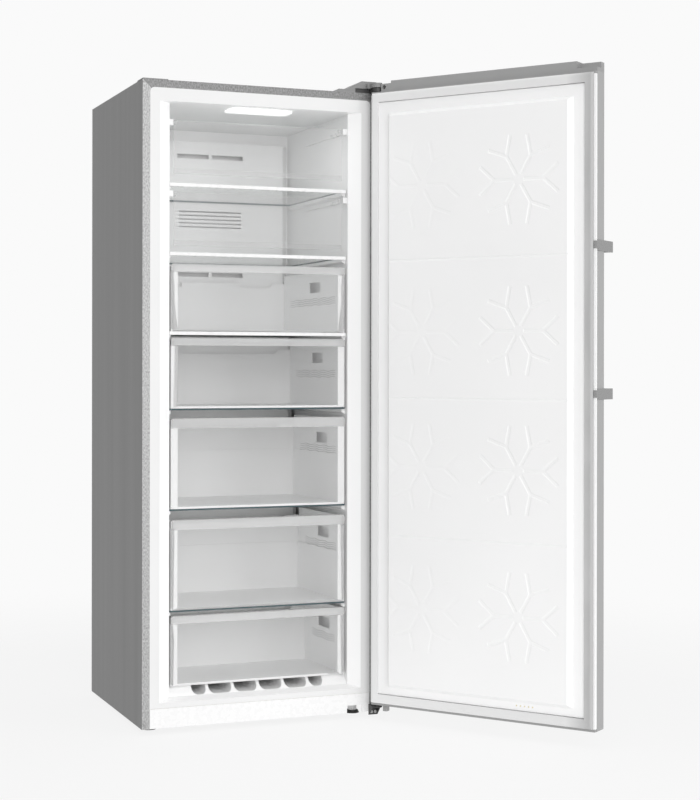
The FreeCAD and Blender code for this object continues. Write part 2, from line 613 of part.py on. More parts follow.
def screw(spot, out):
    """Pan head with a cross recess; out is the way it faces."""
    head = Part.makeCylinder(4.2, 2.4)
    recess = [box(-2.6, 2.6, -0.5, 0.5, 1.2, 3.0), box(-0.5, 0.5, -2.6, 2.6, 1.2, 3.0)]
    head = head.cut(fuse(recess))
    head.Placement = FreeCAD.Placement(V(*spot), FreeCAD.Rotation(V(0, 0, 1), V(*out)))
    return head


def hinge_screws():
    """Heads of the hinge screws and of the one that holds the base trim at the left."""
    up, forward = (0, 0, 1), (0, -1, 0)
    spots = [((HINGE_X - x, y, TOP_Z + PLATE), up) for x, y in ((50, 40), (8, 40), (30, 68))]
    spots += [((HALF - x, -3, FLOOR_GAP), forward) for x in (17, 5)]
    spots += [((-HALF + 7.5, 0, FLOOR_GAP + 12), forward)]
    return Part.makeCompound([screw(spot, out) for spot, out in spots])


# ---- shelves, flaps and drawers -----------------------------------------------------
def shelf_rear(top):
    if top in UPPER_SHELVES:
        return DUCT_FACES[0] - 5
    return DUCT_FACES[2] - 5 if top == LOWER_SHELVES[2] else DUCT_FACES[1] - 5


def shelf_pane(top, front):
    pane = box(-GLASS_HALF, GLASS_HALF, front, shelf_rear(top), top - GLASS, top)
    return rounded(pane, 6.0, lambda e: runs_along(e, V(0, 0, 1)) and e.CenterOfMass.y < front + 1)


def shelf_trim(top):
    """White moulding pushed on the front edge of an upper pane."""
    front = SHELF_FRONT - 3
    body = box(-GLASS_HALF, GLASS_HALF, front, front + TRIM_DEPTH, top + 1 - TRIM_HEIGHT, top + 1)
    body = rounded(body, 1.0, lambda e: runs_along(e, V(1, 0, 0)) and e.CenterOfMass.y < front + 1)
    return body.cut(shelf_pane(top, SHELF_FRONT))


def flap(top, bottom):
    """Clear flap with a grip along its lower edge and two pivot pins."""
    back = FLAP_FRONT + FLAP_WALL
    axis_y, axis_z = FLAP_FRONT + PIVOT_BACK, top - PIVOT_DROP
    pane = box(-FLAP_HALF, FLAP_HALF, FLAP_FRONT, back, bottom, top)
    grip = box(-FLAP_HALF, FLAP_HALF, FLAP_FRONT, FLAP_FRONT + 8, bottom, bottom + 3)
    hook = box(-FLAP_HALF, FLAP_HALF, FLAP_FRONT + 6, FLAP_FRONT + 8, bottom, bottom + FLAP_GRIP)
    stiffener = box(-FLAP_HALF, FLAP_HALF, FLAP_FRONT, FLAP_FRONT + 5, top - 3, top)
    shapes = [pane, grip, hook, stiffener]
    for sign in (-1, 1):
        inner, outer = sign * (FLAP_HALF - 10), sign * FLAP_HALF
        shapes.append(box(min(inner, outer), max(inner, outer), FLAP_FRONT, axis_y + 4, axis_z - 5, top))
        shapes.append(rod(PIVOT_R, (sign * (FLAP_HALF - 5), axis_y, axis_z),
                          (sign * (FLAP_HALF + 10), axis_y, axis_z)))
    return fuse(shapes)


def flap_brackets():
    """Pivot blocks on the liner walls, one at each end of each flap."""
    blocks = []
    for top in FLAP_TOPS:
        axis_y, axis_z = FLAP_FRONT + PIVOT_BACK, top - PIVOT_DROP
        block = box(FLAP_HALF + 2, CAVITY_HALF, FLAP_FRONT - 1, FLAP_FRONT + 20, axis_z - 9, axis_z + 9)
        block = rounded(block, 3.0, lambda e: runs_along(e, V(1, 0, 0)))
        guide = box(CAVITY_HALF - 8, CAVITY_HALF, FLAP_FRONT + 15, FLAP_FRONT + GUIDE_LENGTH,
                    axis_z - 5, axis_z + 5)
        guide = rounded(guide, 2.0, lambda e: abs(e.CenterOfMass.x - CAVITY_HALF + 8) < 0.01)
        block = fuse([block, guide]).cut(rod(PIVOT_R + PIVOT_FIT, (FLAP_HALF + 1, axis_y, axis_z),
                                             (FLAP_HALF + 12, axis_y, axis_z)))
        blocks += [block, mirrored(block)]
    return Part.makeCompound(blocks)


def drawer_levels(index):
    low = DRAWER_FLOORS[index] + RUN
    high = DRAWER_CEILINGS[index] - GLASS - DRAWER_GAPS[index]
    return low, high


def drawer_plan(rear, inset):
    front = DRAWER_FRONT + PANE
    back_half = BODY_HALF - BODY_TAPER
    return [(-BODY_HALF + inset, front), (BODY_HALF - inset, front),
            (back_half - inset, rear - inset), (-back_half + inset, rear - inset)]


def drawer_shell(index):
    """Walls and floor; in the stepped drawers the upper half of the walls stands further out."""
    low, high = drawer_levels(index)
    rear = DRAWER_REARS[index]
    body = prism_plan(drawer_plan(rear, 0), low, high - 4)
    space = prism_plan(drawer_plan(rear, DRAWER_WALL), low + DRAWER_WALL, high)
    if index not in STEPPED:
        return body.cut(space)
    ledge = low + (high - low) * STEP_SHARE
    body = fuse([body, prism_plan(drawer_plan(rear, -STEP_OUT), ledge, high - 4)])
    wide = prism_plan(drawer_plan(rear, DRAWER_WALL - STEP_OUT), ledge + DRAWER_WALL, high)
    return body.cut(fuse([space, wide]))


def rear_notches(index):
    """Lowered rear wall with a wider notch on each side of the middle."""
    rear, high = DRAWER_REARS[index], drawer_levels(index)[1]
    front, back = rear - 2 * DRAWER_WALL, rear + STEP_OUT + 1
    cuts = [box(-BODY_HALF, BODY_HALF, front, back, high - REAR_DROP, high)]
    inner, outer = NOTCH_INNER[index], BODY_HALF - NOTCH_SIDE
    notch = [(inner, 1), (inner, -NOTCH_DEPTH), (outer, -NOTCH_DEPTH), (outer + NOTCH_DEPTH, 1)]
    for sign in (-1, 1):
        outline = [(sign * x, high - REAR_DROP + z) for x, z in notch]
        cuts.append(prism_front(outline, front, back))
    return cuts


def grip_cutter(index):
    """Rounded opening through both side walls."""
    front, rear = DRAWER_FRONT + PANE, DRAWER_REARS[index]
    middle = front + (rear - front) * CUT_SHARES[index]
    level = drawer_levels(index)[1] - CUT_DROPS[index]
    cutter = box(-HALF, HALF, middle - CUT_LENGTH / 2, middle + CUT_LENGTH / 2,
                 level - CUT_HEIGHT / 2, level + CUT_HEIGHT / 2)
    return rounded(cutter, 5.0, lambda e: runs_along(e, V(1, 0, 0)))


def drawer_box(index):
    """White moulded box, open in front and on top, with a grip opening in each side."""
    low, high = drawer_levels(index)
    front = DRAWER_FRONT + PANE
    posts = [box(x0, x1, front, front + POST_DEPTH, low, high - GRIP_BAND - 1)
             for x0, x1 in ((DRAWER_HALF - POST_WIDTH, DRAWER_HALF), (-DRAWER_HALF, POST_WIDTH - DRAWER_HALF))]
    sill = box(-DRAWER_HALF, DRAWER_HALF, front, front + 4, low, low + 6)
    body = drawer_shell(index).cut(fuse(rear_notches(index)))
    return fuse([body, sill] + posts).cut(grip_cutter(index))


def drawer_front(index):
    """Clear front: pane, and a grip band with a lip to pull on."""
    low, high = drawer_levels(index)
    back = DRAWER_FRONT + PANE
    pane = box(-DRAWER_HALF, DRAWER_HALF, DRAWER_FRONT, back, low, high)
    pane = rounded(pane, 8.0, lambda e: runs_along(e, V(0, 1, 0)))
    inner, rear = BODY_HALF - DRAWER_WALL - 2.0, DRAWER_FRONT + GRIP_DEPTH
    lip = box(-inner, inner, DRAWER_FRONT, rear, high - 3, high)
    hook = box(-inner, inner, rear - 2.5, rear, high - 9, high)
    band = box(-DRAWER_HALF, DRAWER_HALF, DRAWER_FRONT - 1.5, back, high - GRIP_BAND, high)
    band = rounded(band, 8.0, lambda e: runs_along(e, V(0, 1, 0)) and e.CenterOfMass.z > high - 1)
    return fuse([pane, lip, hook, band])


# ---- cold side works ----------------------------------------------------------------
def duct_outline(face, inset):
    half, back = DUCT_HALF - inset, CAVITY_BACK
    wide = half + DUCT_BEVEL
    return [(-wide, back), (-wide, face + DUCT_BEVEL + inset), (-half, face + inset),
            (half, face + inset), (wide, face + DUCT_BEVEL + inset), (wide, back)]


def duct_panel():
    """Moulded cover with blowing slots, stepped forward lower down."""
    tops = [DUCT_TOP] + DUCT_STEPS
    outer = [prism_plan(duct_outline(face, 0), DUCT_BOTTOM, top) for face, top in zip(DUCT_FACES, tops)]
    inner = [prism_plan(duct_outline(face, DUCT_WALL), DUCT_BOTTOM, top - DUCT_WALL)
             for face, top in zip(DUCT_FACES, tops)]
    panel = fuse(outer).cut(fuse(inner))
    panes = [UPPER_SHELVES[0], UPPER_SHELVES[2]] + LOWER_SHELVES
    faces = [DUCT_FACES[0], DUCT_FACES[0], DUCT_FACES[1], DUCT_FACES[1], DUCT_FACES[2]]
    cuts = []
    for pane, rise, face in zip(panes, SLOT_RISES, faces):
        for start in (-SLOT_APART / 2 - SLOT_WIDTH, SLOT_APART / 2):
            cuts.append(duct_slot(start, start + SLOT_WIDTH, face, pane + rise, SLOT_HEIGHT))
    for step in range(5):
        level = UPPER_SHELVES[1] + GRILLE_RISE + step * GRILLE_PITCH
        cuts.append(duct_slot(-SLOT_WIDTH, SLOT_WIDTH, DUCT_FACES[0], level, GRILLE_PITCH / 3))
    return panel.cut(fuse(cuts))


def duct_slot(x0, x1, face, level, height):
    return box(x0, x1, face - 5, face + 5, level - height / 2, level + height / 2)


def fin_coil(x0, x1, y, z0, z1, depth, rows, fins, tube):
    """Serpentine tube through upright fins."""
    pitch = (z1 - z0) / rows
    points = []
    for row in range(rows):
        z = z0 + pitch * (row + 0.5)
        ends = (x0, x1) if row % 2 == 0 else (x1, x0)
        points += [(ends[0], y, z), (ends[1], y, z)]
    coil = pipe(points, tube, pitch * 0.49)
    span = (x1 - x0) - 2 * pitch - 8
    shapes = [coil]
    for index in range(fins):
        x = x0 + pitch + 4 + span * index / (fins - 1)
        shapes.append(box(x - 0.6, x + 0.6, y - depth / 2, y + depth / 2, z0, z1))
    return fuse(shapes)


def evaporator():
    y = CAVITY_BACK - EVAP_DEPTH / 2 - 4
    coil = fin_coil(-EVAP_HALF, EVAP_HALF, y, EVAP_BOTTOM, EVAP_TOP, EVAP_DEPTH, 8, 18, 4.0)
    plates = [box(sign * (EVAP_HALF - 52) - 1, sign * (EVAP_HALF - 52) + 1, y - EVAP_DEPTH / 2,
                  CAVITY_BACK, EVAP_BOTTOM + 20, EVAP_TOP - 20) for sign in (-1, 1)]
    return fuse([coil] + plates)


def defrost_heater():
    """Sheathed heater under the coil, on two clips that reach the liner."""
    y = CAVITY_BACK - 32
    half = EVAP_HALF - 20
    rod_ = pipe([(-half, y, HEATER_Z + 22), (-half, y, HEATER_Z), (half, y, HEATER_Z),
                 (half, y, HEATER_Z + 22)], 4.5, 10.0)
    clips = [box(x - 3, x + 3, y - 8, CAVITY_BACK, HEATER_Z - 9, HEATER_Z + 9) for x in (-120, 120)]
    return fuse([rod_] + clips)


def fan_blades(centre, axis, radius, width, blades):
    """Hub with pitched blades, running on a shaft along axis."""
    hub = Part.makeCylinder(radius * 0.3, width, V(0, 0, -width / 2), V(0, 0, 1))
    shapes = [hub]
    for index in range(blades):
        blade = box(radius * 0.2, radius, -radius * 0.26, radius * 0.26, -0.9, 0.9)
        blade.rotate(V(0, 0, 0), V(1, 0, 0), 24)
        blade = blade.common(Part.makeCylinder(radius, width, V(0, 0, -width / 2), V(0, 0, 1)))
        blade.rotate(V(0, 0, 0), V(0, 0, 1), 360.0 * index / blades)
        shapes.append(blade)
    fan = fuse(shapes)
    fan = fan.cut(Part.makeCylinder(2.5 + AXLE_FIT, width + 2, V(0, 0, -width / 2 - 1), V(0, 0, 1)))
    fan.Placement = FreeCAD.Placement(V(*centre), FreeCAD.Rotation(V(0, 0, 1), V(*axis)))
    return fan


EVAP_FAN_Y = DUCT_FACES[1] + 44.0


def evap_fan_motor():
    """Square shroud with its ring, motor on struts, and the motor shaft."""
    plate = box(-75, 75, EVAP_FAN_Y - 12, EVAP_FAN_Y - 9, FAN_Z - 75, FAN_Z + 75)
    centre = (0, EVAP_FAN_Y - 12, FAN_Z)
    hoop = ring(FAN_R + 6, FAN_R + 3, centre, (0, EVAP_FAN_Y + 12, FAN_Z))
    plate = plate.cut(rod(FAN_R + 3, (0, EVAP_FAN_Y - 20, FAN_Z), (0, EVAP_FAN_Y, FAN_Z)))
    motor = rod(22, (0, EVAP_FAN_Y + 13, FAN_Z), (0, EVAP_FAN_Y + 34, FAN_Z))
    shaft = rod(2.5, (0, EVAP_FAN_Y - 10, FAN_Z), (0, EVAP_FAN_Y + 14, FAN_Z))
    struts = [box(-FAN_R - 5, -18, EVAP_FAN_Y + 13, EVAP_FAN_Y + 17, FAN_Z - 4, FAN_Z + 4),
              box(18, FAN_R + 5, EVAP_FAN_Y + 13, EVAP_FAN_Y + 17, FAN_Z - 4, FAN_Z + 4),
              box(-4, 4, EVAP_FAN_Y + 13, EVAP_FAN_Y + 17, FAN_Z + 18, FAN_Z + FAN_R + 5)]
    arms = [box(x - 5, x + 5, EVAP_FAN_Y + 10, CAVITY_BACK, FAN_Z - 4, FAN_Z + 4)
            for x in (-FAN_R - 5, FAN_R + 5)]
    legs = [box(x - 4, x + 4, EVAP_FAN_Y - 12, CAVITY_BACK, z - 4, z + 4)
            for x in (-70, 70) for z in (FAN_Z - 70, FAN_Z + 70)]
    fixed = fuse([plate, hoop, motor, shaft] + struts + arms + legs)
    return fixed


# ---- warm side works ----------------------------------------------------------------
def drain_tube():
    """Funnel on the step of the liner and a pipe down to the drip tray."""
    x, y = COMPRESSOR_X, DRAIN_Y
    tube = rod(DRAIN_R - RUN, (x, y, BAY_TOP - 24), (x, y, HUMP_TOP + 2))
    flange = rod(DRAIN_R + 8, (x, y, HUMP_TOP), (x, y, HUMP_TOP + 2))
    return fuse([tube, flange]).cut(rod(DRAIN_R - 2.5, (x, y, BAY_TOP - 30), (x, y, HUMP_TOP + 3)))


COMPRESSOR_Y = (BAY_FRONT + DEPTH) / 2
COMPRESSOR_LOW = DECK_Z + GROMMET
STUB_X = COMPRESSOR_X + COMPRESSOR_R + 12
STUBS = ((-20, DECK_Z + 72), (20, DECK_Z + 96))      # discharge, suction: dy, z


def compressor():
    """Welded pot with a seam, mounting feet and a terminal box."""
    r, h = COMPRESSOR_R, COMPRESSOR_HEIGHT
    low = COMPRESSOR_LOW + 3
    pot = Part.makeCylinder(r, h - 3, V(COMPRESSOR_X, COMPRESSOR_Y, low))
    pot = rounded(pot, r * 0.35, lambda e: e.isClosed())
    seam = Part.makeCylinder(r + 2.5, 6, V(COMPRESSOR_X, COMPRESSOR_Y, low + h * 0.55))
    feet = box(COMPRESSOR_X - 95, COMPRESSOR_X + 95, COMPRESSOR_Y - 62, COMPRESSOR_Y + 62,
               COMPRESSOR_LOW, COMPRESSOR_LOW + 3.5)
    feet = rounded(feet, 12, lambda e: runs_along(e, V(0, 0, 1)))
    terminals = box(COMPRESSOR_X - r - 22, COMPRESSOR_X - r + 20, COMPRESSOR_Y - 28, COMPRESSOR_Y + 28,
                    low + 40, low + 95)
    stubs = [rod(4, (COMPRESSOR_X + r - 20, COMPRESSOR_Y + dy, z), (STUB_X, COMPRESSOR_Y + dy, z))
             for dy, z in STUBS]
    stand = rod(30, (COMPRESSOR_X, COMPRESSOR_Y, low), (COMPRESSOR_X, COMPRESSOR_Y, low + 20))
    return fuse([pot, seam, feet, terminals, stand] + stubs)


def compressor_grommets():
    """Four rubber mounts between the compressor's feet and the deck."""
    return Part.makeCompound([ring(11, 4, (COMPRESSOR_X + sx * 80, COMPRESSOR_Y + sy * 48, DECK_Z),
                                   (COMPRESSOR_X + sx * 80, COMPRESSOR_Y + sy * 48, COMPRESSOR_LOW))
                              for sx in (-1, 1) for sy in (-1, 1)])


def drip_tray():
    """Evaporating tray on top of the compressor."""
    low = COMPRESSOR_LOW + COMPRESSOR_HEIGHT
    high = BAY_TOP - 2 - 6
    outer = box(COMPRESSOR_X - 90, COMPRESSOR_X + 90, BAY_FRONT + 12, DEPTH - 16, low, high)
    outer = rounded(outer, 10, lambda e: runs_along(e, V(0, 0, 1)))
    inner = box(COMPRESSOR_X - 88, COMPRESSOR_X + 88, BAY_FRONT + 14, DEPTH - 18, low + 2, high + 1)
    return outer.cut(rounded(inner, 8, lambda e: runs_along(e, V(0, 0, 1))))


def condenser():
    """Finned condenser block standing on the deck."""
    coil = fin_coil(CONDENSER_LEFT, CONDENSER_RIGHT, COMPRESSOR_Y, DECK_Z + 8,
                    DECK_Z + 8 + CONDENSER_HEIGHT, 120, CONDENSER_ROWS, 12, 4.0)
    side = box(CONDENSER_LEFT + 34, CONDENSER_RIGHT - 34, COMPRESSOR_Y - 60, COMPRESSOR_Y + 60,
               DECK_Z, DECK_Z + 8.5)
    return fuse([coil, side])


FAN_X = CONDENSER_RIGHT + 40.0
COND_FAN_Z = DECK_Z + 90.0
COND_FAN_R = 62.0


def condenser_fan_motor():
    """Bracket plate with a ring, and a motor on struts, standing on the deck."""
    x, y, z = FAN_X, COMPRESSOR_Y, COND_FAN_Z
    plate = box(x - 14, x - 11, y - 78, y + 78, DECK_Z, z + 78)
    plate = plate.cut(rod(COND_FAN_R + 4, (x - 20, y, z), (x, y, z)))
    hoop = ring(COND_FAN_R + 7, COND_FAN_R + 4, (x - 14, y, z), (x + 12, y, z))
    motor = rod(24, (x + 14, y, z), (x + 44, y, z))
    shaft = rod(2.5, (x - 10, y, z), (x + 15, y, z))
    struts = [box(x + 14, x + 18, y - COND_FAN_R - 6, y - 18, z - 4, z + 4),
              box(x + 14, x + 18, y + 18, y + COND_FAN_R + 6, z - 4, z + 4)]
    arms = [box(x - 12, x + 18, y + sign * (COND_FAN_R + 5.5) - 3, y + sign * (COND_FAN_R + 5.5) + 3,
                z - 4, z + 4) for sign in (-1, 1)]
    return fuse([plate, hoop, motor, shaft] + struts + arms)


def refrigerant_lines():
    """Discharge line to the condenser, outlet through the drier, and the suction line."""
    (near, low), (far, high) = STUBS
    near, far = COMPRESSOR_Y + near, COMPRESSOR_Y + far
    lane, ceiling = BAY_FRONT + 12, BAY_TOP - 2
    turn = STUB_X + 22
    pitch = CONDENSER_HEIGHT / CONDENSER_ROWS
    inlet = DECK_Z + 8 + CONDENSER_HEIGHT - pitch / 2
    outlet = DECK_Z + 8 + pitch / 2
    beside = CONDENSER_RIGHT + 16
    discharge = pipe([(STUB_X, near, low), (turn, near, low), (turn, lane, low), (beside, lane, low),
                      (beside, lane, inlet), (beside, COMPRESSOR_Y, inlet),
                      (CONDENSER_RIGHT, COMPRESSOR_Y, inlet)], 3.0, 7.0)
    suction = pipe([(STUB_X, far, high), (turn, far, high), (turn, far, ceiling)], 3.5, 9.0)
    side, top = CONDENSER_LEFT - 14, outlet + 130
    outgoing = pipe([(CONDENSER_LEFT, COMPRESSOR_Y, outlet), (side, COMPRESSOR_Y, outlet),
                     (side, lane + 6, outlet), (side, lane + 6, ceiling)], 2.5, 6.0)
    drier = rod(10, (side, lane + 6, top - 80), (side, lane + 6, top))
    return Part.makeCompound([discharge, suction, fuse([outgoing, drier])])


def rear_cover():
    """Vented sheet over the compressor bay."""
    sheet = box(-HALF, HALF, DEPTH - SHEET, DEPTH, FLOOR_GAP + 4, BAY_TOP)
    cuts = []
    for column in range(-6, 7):
        if abs(column) < 1:
            continue
        for row in range(5):
            x, z = column * 46.0, 70.0 + row * 28
            cuts.append(box(x - 17, x + 17, DEPTH - 3, DEPTH + 1, z - 3, z + 3))
    return sheet.cut(fuse(cuts)).cut(rod(LEAD_R, (LEAD_X, DEPTH - 3, LEAD_Z), (LEAD_X, DEPTH + 2, LEAD_Z)))


def power_inlet():
    """Strain relief for the mains lead; the lead itself is not part of the model."""
    body = fuse([rod(LEAD_R - RUN, (LEAD_X, DEPTH - 6, LEAD_Z), (LEAD_X, DEPTH + 4, LEAD_Z)),
                 rod(LEAD_R + 4, (LEAD_X, DEPTH, LEAD_Z), (LEAD_X, DEPTH + 4, LEAD_Z))])
    return body.cut(rod(LEAD_R - 5, (LEAD_X, DEPTH - 8, LEAD_Z), (LEAD_X, DEPTH + 6, LEAD_Z)))


def control_box():
    """Housing of the main circuit board, screwed under the bay's ceiling."""
    right = COMPRESSOR_X - CONTROL_GAP
    housing = box(right - CONTROL_WIDTH, right, BAY_FRONT + 30, DEPTH - 40, BAY_TOP - 2 - 38, BAY_TOP - 2)
    return rounded(housing, 3, lambda e: runs_along(e, V(0, 0, 1)))


def front_foot(sign):
    """Levelling foot: pad, knurled wheel and threaded stem."""
    x, y = sign * FOOT_X, FOOT_Y
    pad = Part.makeCone(FOOT_R, FOOT_R - 4, FOOT_PAD, V(x, y, 0))
    wheel = Part.makeCylinder(13, 24, V(x, y, FOOT_PAD))
    grooves = []
    for step in range(12):
        turn = math.radians(30 * step)
        spot = (x + 13.5 * math.cos(turn), y + 13.5 * math.sin(turn))
        grooves.append(rod(1.6, (spot[0], spot[1], FOOT_PAD), (spot[0], spot[1], FOOT_PAD + 24)))
    wheel = wheel.cut(fuse(grooves))
    stem = rod(STEM_R, (x, y, FOOT_PAD), (x, y, KICK_TOP - 8))
    return fuse([pad, wheel, stem])


def roller(sign):
    x = sign * ROLLER_X
    half = ROLLER_WIDTH / 2
    wheel = rod(ROLLER_R, (x - half, ROLLER_Y, ROLLER_R), (x + half, ROLLER_Y, ROLLER_R))
    return wheel.cut(rod(AXLE_R + AXLE_FIT, (x - half - 1, ROLLER_Y, ROLLER_R),
                         (x + half + 1, ROLLER_Y, ROLLER_R)))


# ---- door: x = DOOR_EDGE - s, y = -t, with s from the hinge edge and t from the cabinet face
def slab(s0, s1, t0, t1, z0, z1):
    return box(DOOR_EDGE - s1, DOOR_EDGE - s0, -t1, -t0, z0, z1)


def front_corner(edge):
    """True on the upright outer corners of the door's front, within the folded sides."""
    at = edge.CenterOfMass
    upright = runs_along(edge, V(0, 0, 1)) and abs(at.y + DOOR_THICK) < 0.01
    return upright and abs(abs(at.x) - WIDTH / 2) < 0.01 and edge.Length > WIDTH


def door_outer_panel():
    """Steel front, folded back along both sides and inward behind the foam."""
    shapes = [slab(0, WIDTH, DOOR_THICK - SHEET, DOOR_THICK, DOOR_BOTTOM,
                   TOP_Z + FRONT_RISE)]
    low, high = DOOR_BOTTOM + BUSH_LENGTH + 8, DOOR_BODY_TOP - BUSH_LENGTH - 8
    for s0, s1 in ((0, SHEET), (WIDTH - SHEET, WIDTH)):
        shapes.append(slab(s0, s1, STEEL_BACK, DOOR_THICK, DOOR_BOTTOM, DOOR_BODY_TOP))
    for s0, s1 in ((0, 8), (WIDTH - 8, WIDTH)):
        shapes.append(slab(s0, s1, STEEL_BACK, STEEL_BACK + SHEET, low, high))
    panel = rounded(fuse(shapes), DOOR_ROUND, front_corner)
    return panel.cut(display_window())


def display_window():
    return slab(WIDTH / 2 - 60, WIDTH / 2 + 60, DOOR_THICK - 3, DOOR_THICK + 1,
                DOOR_STEP_TOP - 17, DOOR_STEP_TOP - 1)


def liner_rectangle(inset, low, high, t):
    half = WIDTH / 2 - inset
    corners = [(-half, -t, low), (half, -t, low), (half, -t, high), (-half, -t, high)]
    return Part.makePolygon([V(*c) for c in corners + corners[:1]])


def raised_panel(shrink):
    """Tapered block of the door liner's raised panel."""
    foot = liner_rectangle(PANEL_FOOT + shrink, PANEL_BOTTOM + shrink, PANEL_TOP - shrink, PLATEAU + shrink)
    face = liner_rectangle(PANEL_FOOT + PANEL_SLOPE + shrink, PANEL_BOTTOM + PANEL_SLOPE + shrink,
                           PANEL_TOP - PANEL_SLOPE - shrink, shrink - PANEL_RISE)
    block = Part.makeLoft([foot, face], True, True)
    return rounded(block, PANEL_ROUND, lambda e: e.CenterOfMass.y > PANEL_RISE - shrink - 0.01
                   or not (runs_along(e, V(1, 0, 0)) or runs_along(e, V(0, 0, 1))))


def liner_levels(shrink):
    """Solid whose surface is the door liner, moved in by shrink."""
    low, high = DOOR_BOTTOM + CAP_HEIGHT, DOOR_BODY_TOP - CAP_HEIGHT
    rim = slab(shrink, WIDTH - shrink, GASKET_THICK + shrink, STEEL_BACK, low + shrink, high - shrink)
    inner = GASKET_IN + GASKET_WIDTH + 0.5 + shrink
    surround = slab(inner, WIDTH - inner, PLATEAU + shrink, GASKET_THICK + shrink + 1,
                    GASKET_BOTTOM + inner, GASKET_TOP - inner)
    return fuse([rim, surround, raised_panel(shrink)])


def flake(s, z, depth):
    """Six arms, each forking into two tips, as shallow grooves."""
    grooves = []
    for step in range(6):
        turn = 60.0 * step
        grooves.append(flake_groove(FLAKE_START, FLAKE_ARM - FLAKE_START, 0, turn, depth))
        for spread in (-FLAKE_SPREAD, FLAKE_SPREAD):
            grooves.append(flake_groove(FLAKE_ARM - FLAKE_WIDTH / 4, FLAKE_TIP, spread, turn, depth))
    whole = fuse(grooves)
    whole.translate(V(DOOR_EDGE - s, PANEL_RISE, z))
    return whole


def flake_groove(start, length, lean, turn, depth):
    """One groove, wide at the panel's face and narrow at its floor; it leans off its arm."""
    half, floor = FLAKE_WIDTH / 2, FLAKE_WIDTH / 4
    groove = prism_side([(0.2, -half), (0.2, half), (-depth, floor), (-depth, -floor)], 0, length)
    groove.rotate(V(0, 0, 0), V(0, 1, 0), lean)
    groove.translate(V(start, 0, 0))
    groove.rotate(V(0, 0, 0), V(0, 1, 0), turn)
    return groove


def panel_grooves():
    """Grooves across the raised panel and down over its slopes."""
    half = WIDTH / 2 - PANEL_FOOT
    cuts = []
    for drop in GROOVE_DROPS:
        level = PANEL_TOP - drop
        outline = [(PANEL_RISE + 0.1, level - GROOVE_WIDTH / 2), (PANEL_RISE + 0.1, level + GROOVE_WIDTH / 2),
                   (PANEL_RISE - GROOVE_DEPTH, level)]
        cuts.append(prism_side(outline, -half, half))
    return cuts


def drain_holes():
    """Row of small holes low down on the liner."""
    first, z = DOOR_EDGE - WIDTH + HOLES_SIDE, DOOR_BOTTOM + HOLES_RISE
    spots = [first - HOLES_PITCH * count for count in range(5)]
    return [rod(2.2, (x, -PLATEAU - LINER - 1, z), (x, 1 - PLATEAU, z)) for x in spots]


def door_liner():
    """White moulded liner with a raised panel, grooves, snowflakes and small holes."""
    low, high = DOOR_BOTTOM + CAP_HEIGHT, DOOR_BODY_TOP - CAP_HEIGHT
    mouth = slab(LINER, WIDTH - LINER, STEEL_BACK - 1, STEEL_BACK + 1, low + LINER, high - LINER)
    shell = liner_levels(0).cut(fuse([liner_levels(LINER), mouth]))
    shell = shell.cut(fuse(panel_grooves() + drain_holes() + hinge_blocks()))
    columns = (PANEL_FOOT + FLAKE_IN, WIDTH - FLAKE_SIDE)
    flakes = [flake(s, PANEL_TOP - drop, depth)
              for s, depth in zip(columns, FLAKE_DEPTHS) for drop in FLAKE_DROPS]
    return shell.cut(fuse(flakes))


def door_foam():
    """Foam core between the liner, the steel front and the two end caps."""
    low, high = DOOR_BOTTOM + CAP_HEIGHT, DOOR_BODY_TOP - CAP_HEIGHT
    core = slab(SHEET, WIDTH - SHEET, STEEL_BACK, DOOR_THICK - SHEET, low, high)
    folds = [slab(s0, s1, STEEL_BACK, STEEL_BACK + SHEET, low, high)
             for s0, s1 in ((0, 8), (WIDTH - 8, WIDTH))]
    return fuse([core, liner_levels(LINER)]).cut(fuse(folds + hinge_blocks()))


def door_gasket():
    """Magnetic seal, rounded on its outer front edge so that it clears the cabinet as it swings."""
    outer = slab(GASKET_IN, WIDTH - GASKET_IN, SEAL_GAP, GASKET_THICK, GASKET_BOTTOM, GASKET_TOP)
    outer = rounded(outer, GASKET_ROUND, lambda e: abs(e.CenterOfMass.y + SEAL_GAP) < 0.01)
    inset, rim = GASKET_IN + GASKET_WIDTH, GASKET_WIDTH + GASKET_WIDER
    inner = slab(inset, WIDTH - inset, 0, GASKET_THICK + 1, GASKET_BOTTOM + rim, GASKET_TOP - rim)
    return outer.cut(inner)


def hinge_block(low, high):
    """Block round a hinge bush, just inside the steel."""
    return slab(SHEET, HINGE_IN + BOSS, HINGE_OUT - BOSS, HINGE_OUT + BOSS, low, high)


def hinge_blocks():
    return [hinge_block(DOOR_BOTTOM, DOOR_BOTTOM + BUSH_LENGTH + 3),
            hinge_block(DOOR_BODY_TOP - BUSH_LENGTH - 3, DOOR_BODY_TOP)]


def bush_hole(low, high):
    return rod(BUSH_R, (HINGE_X, -HINGE_OUT, low), (HINGE_X, -HINGE_OUT, high))


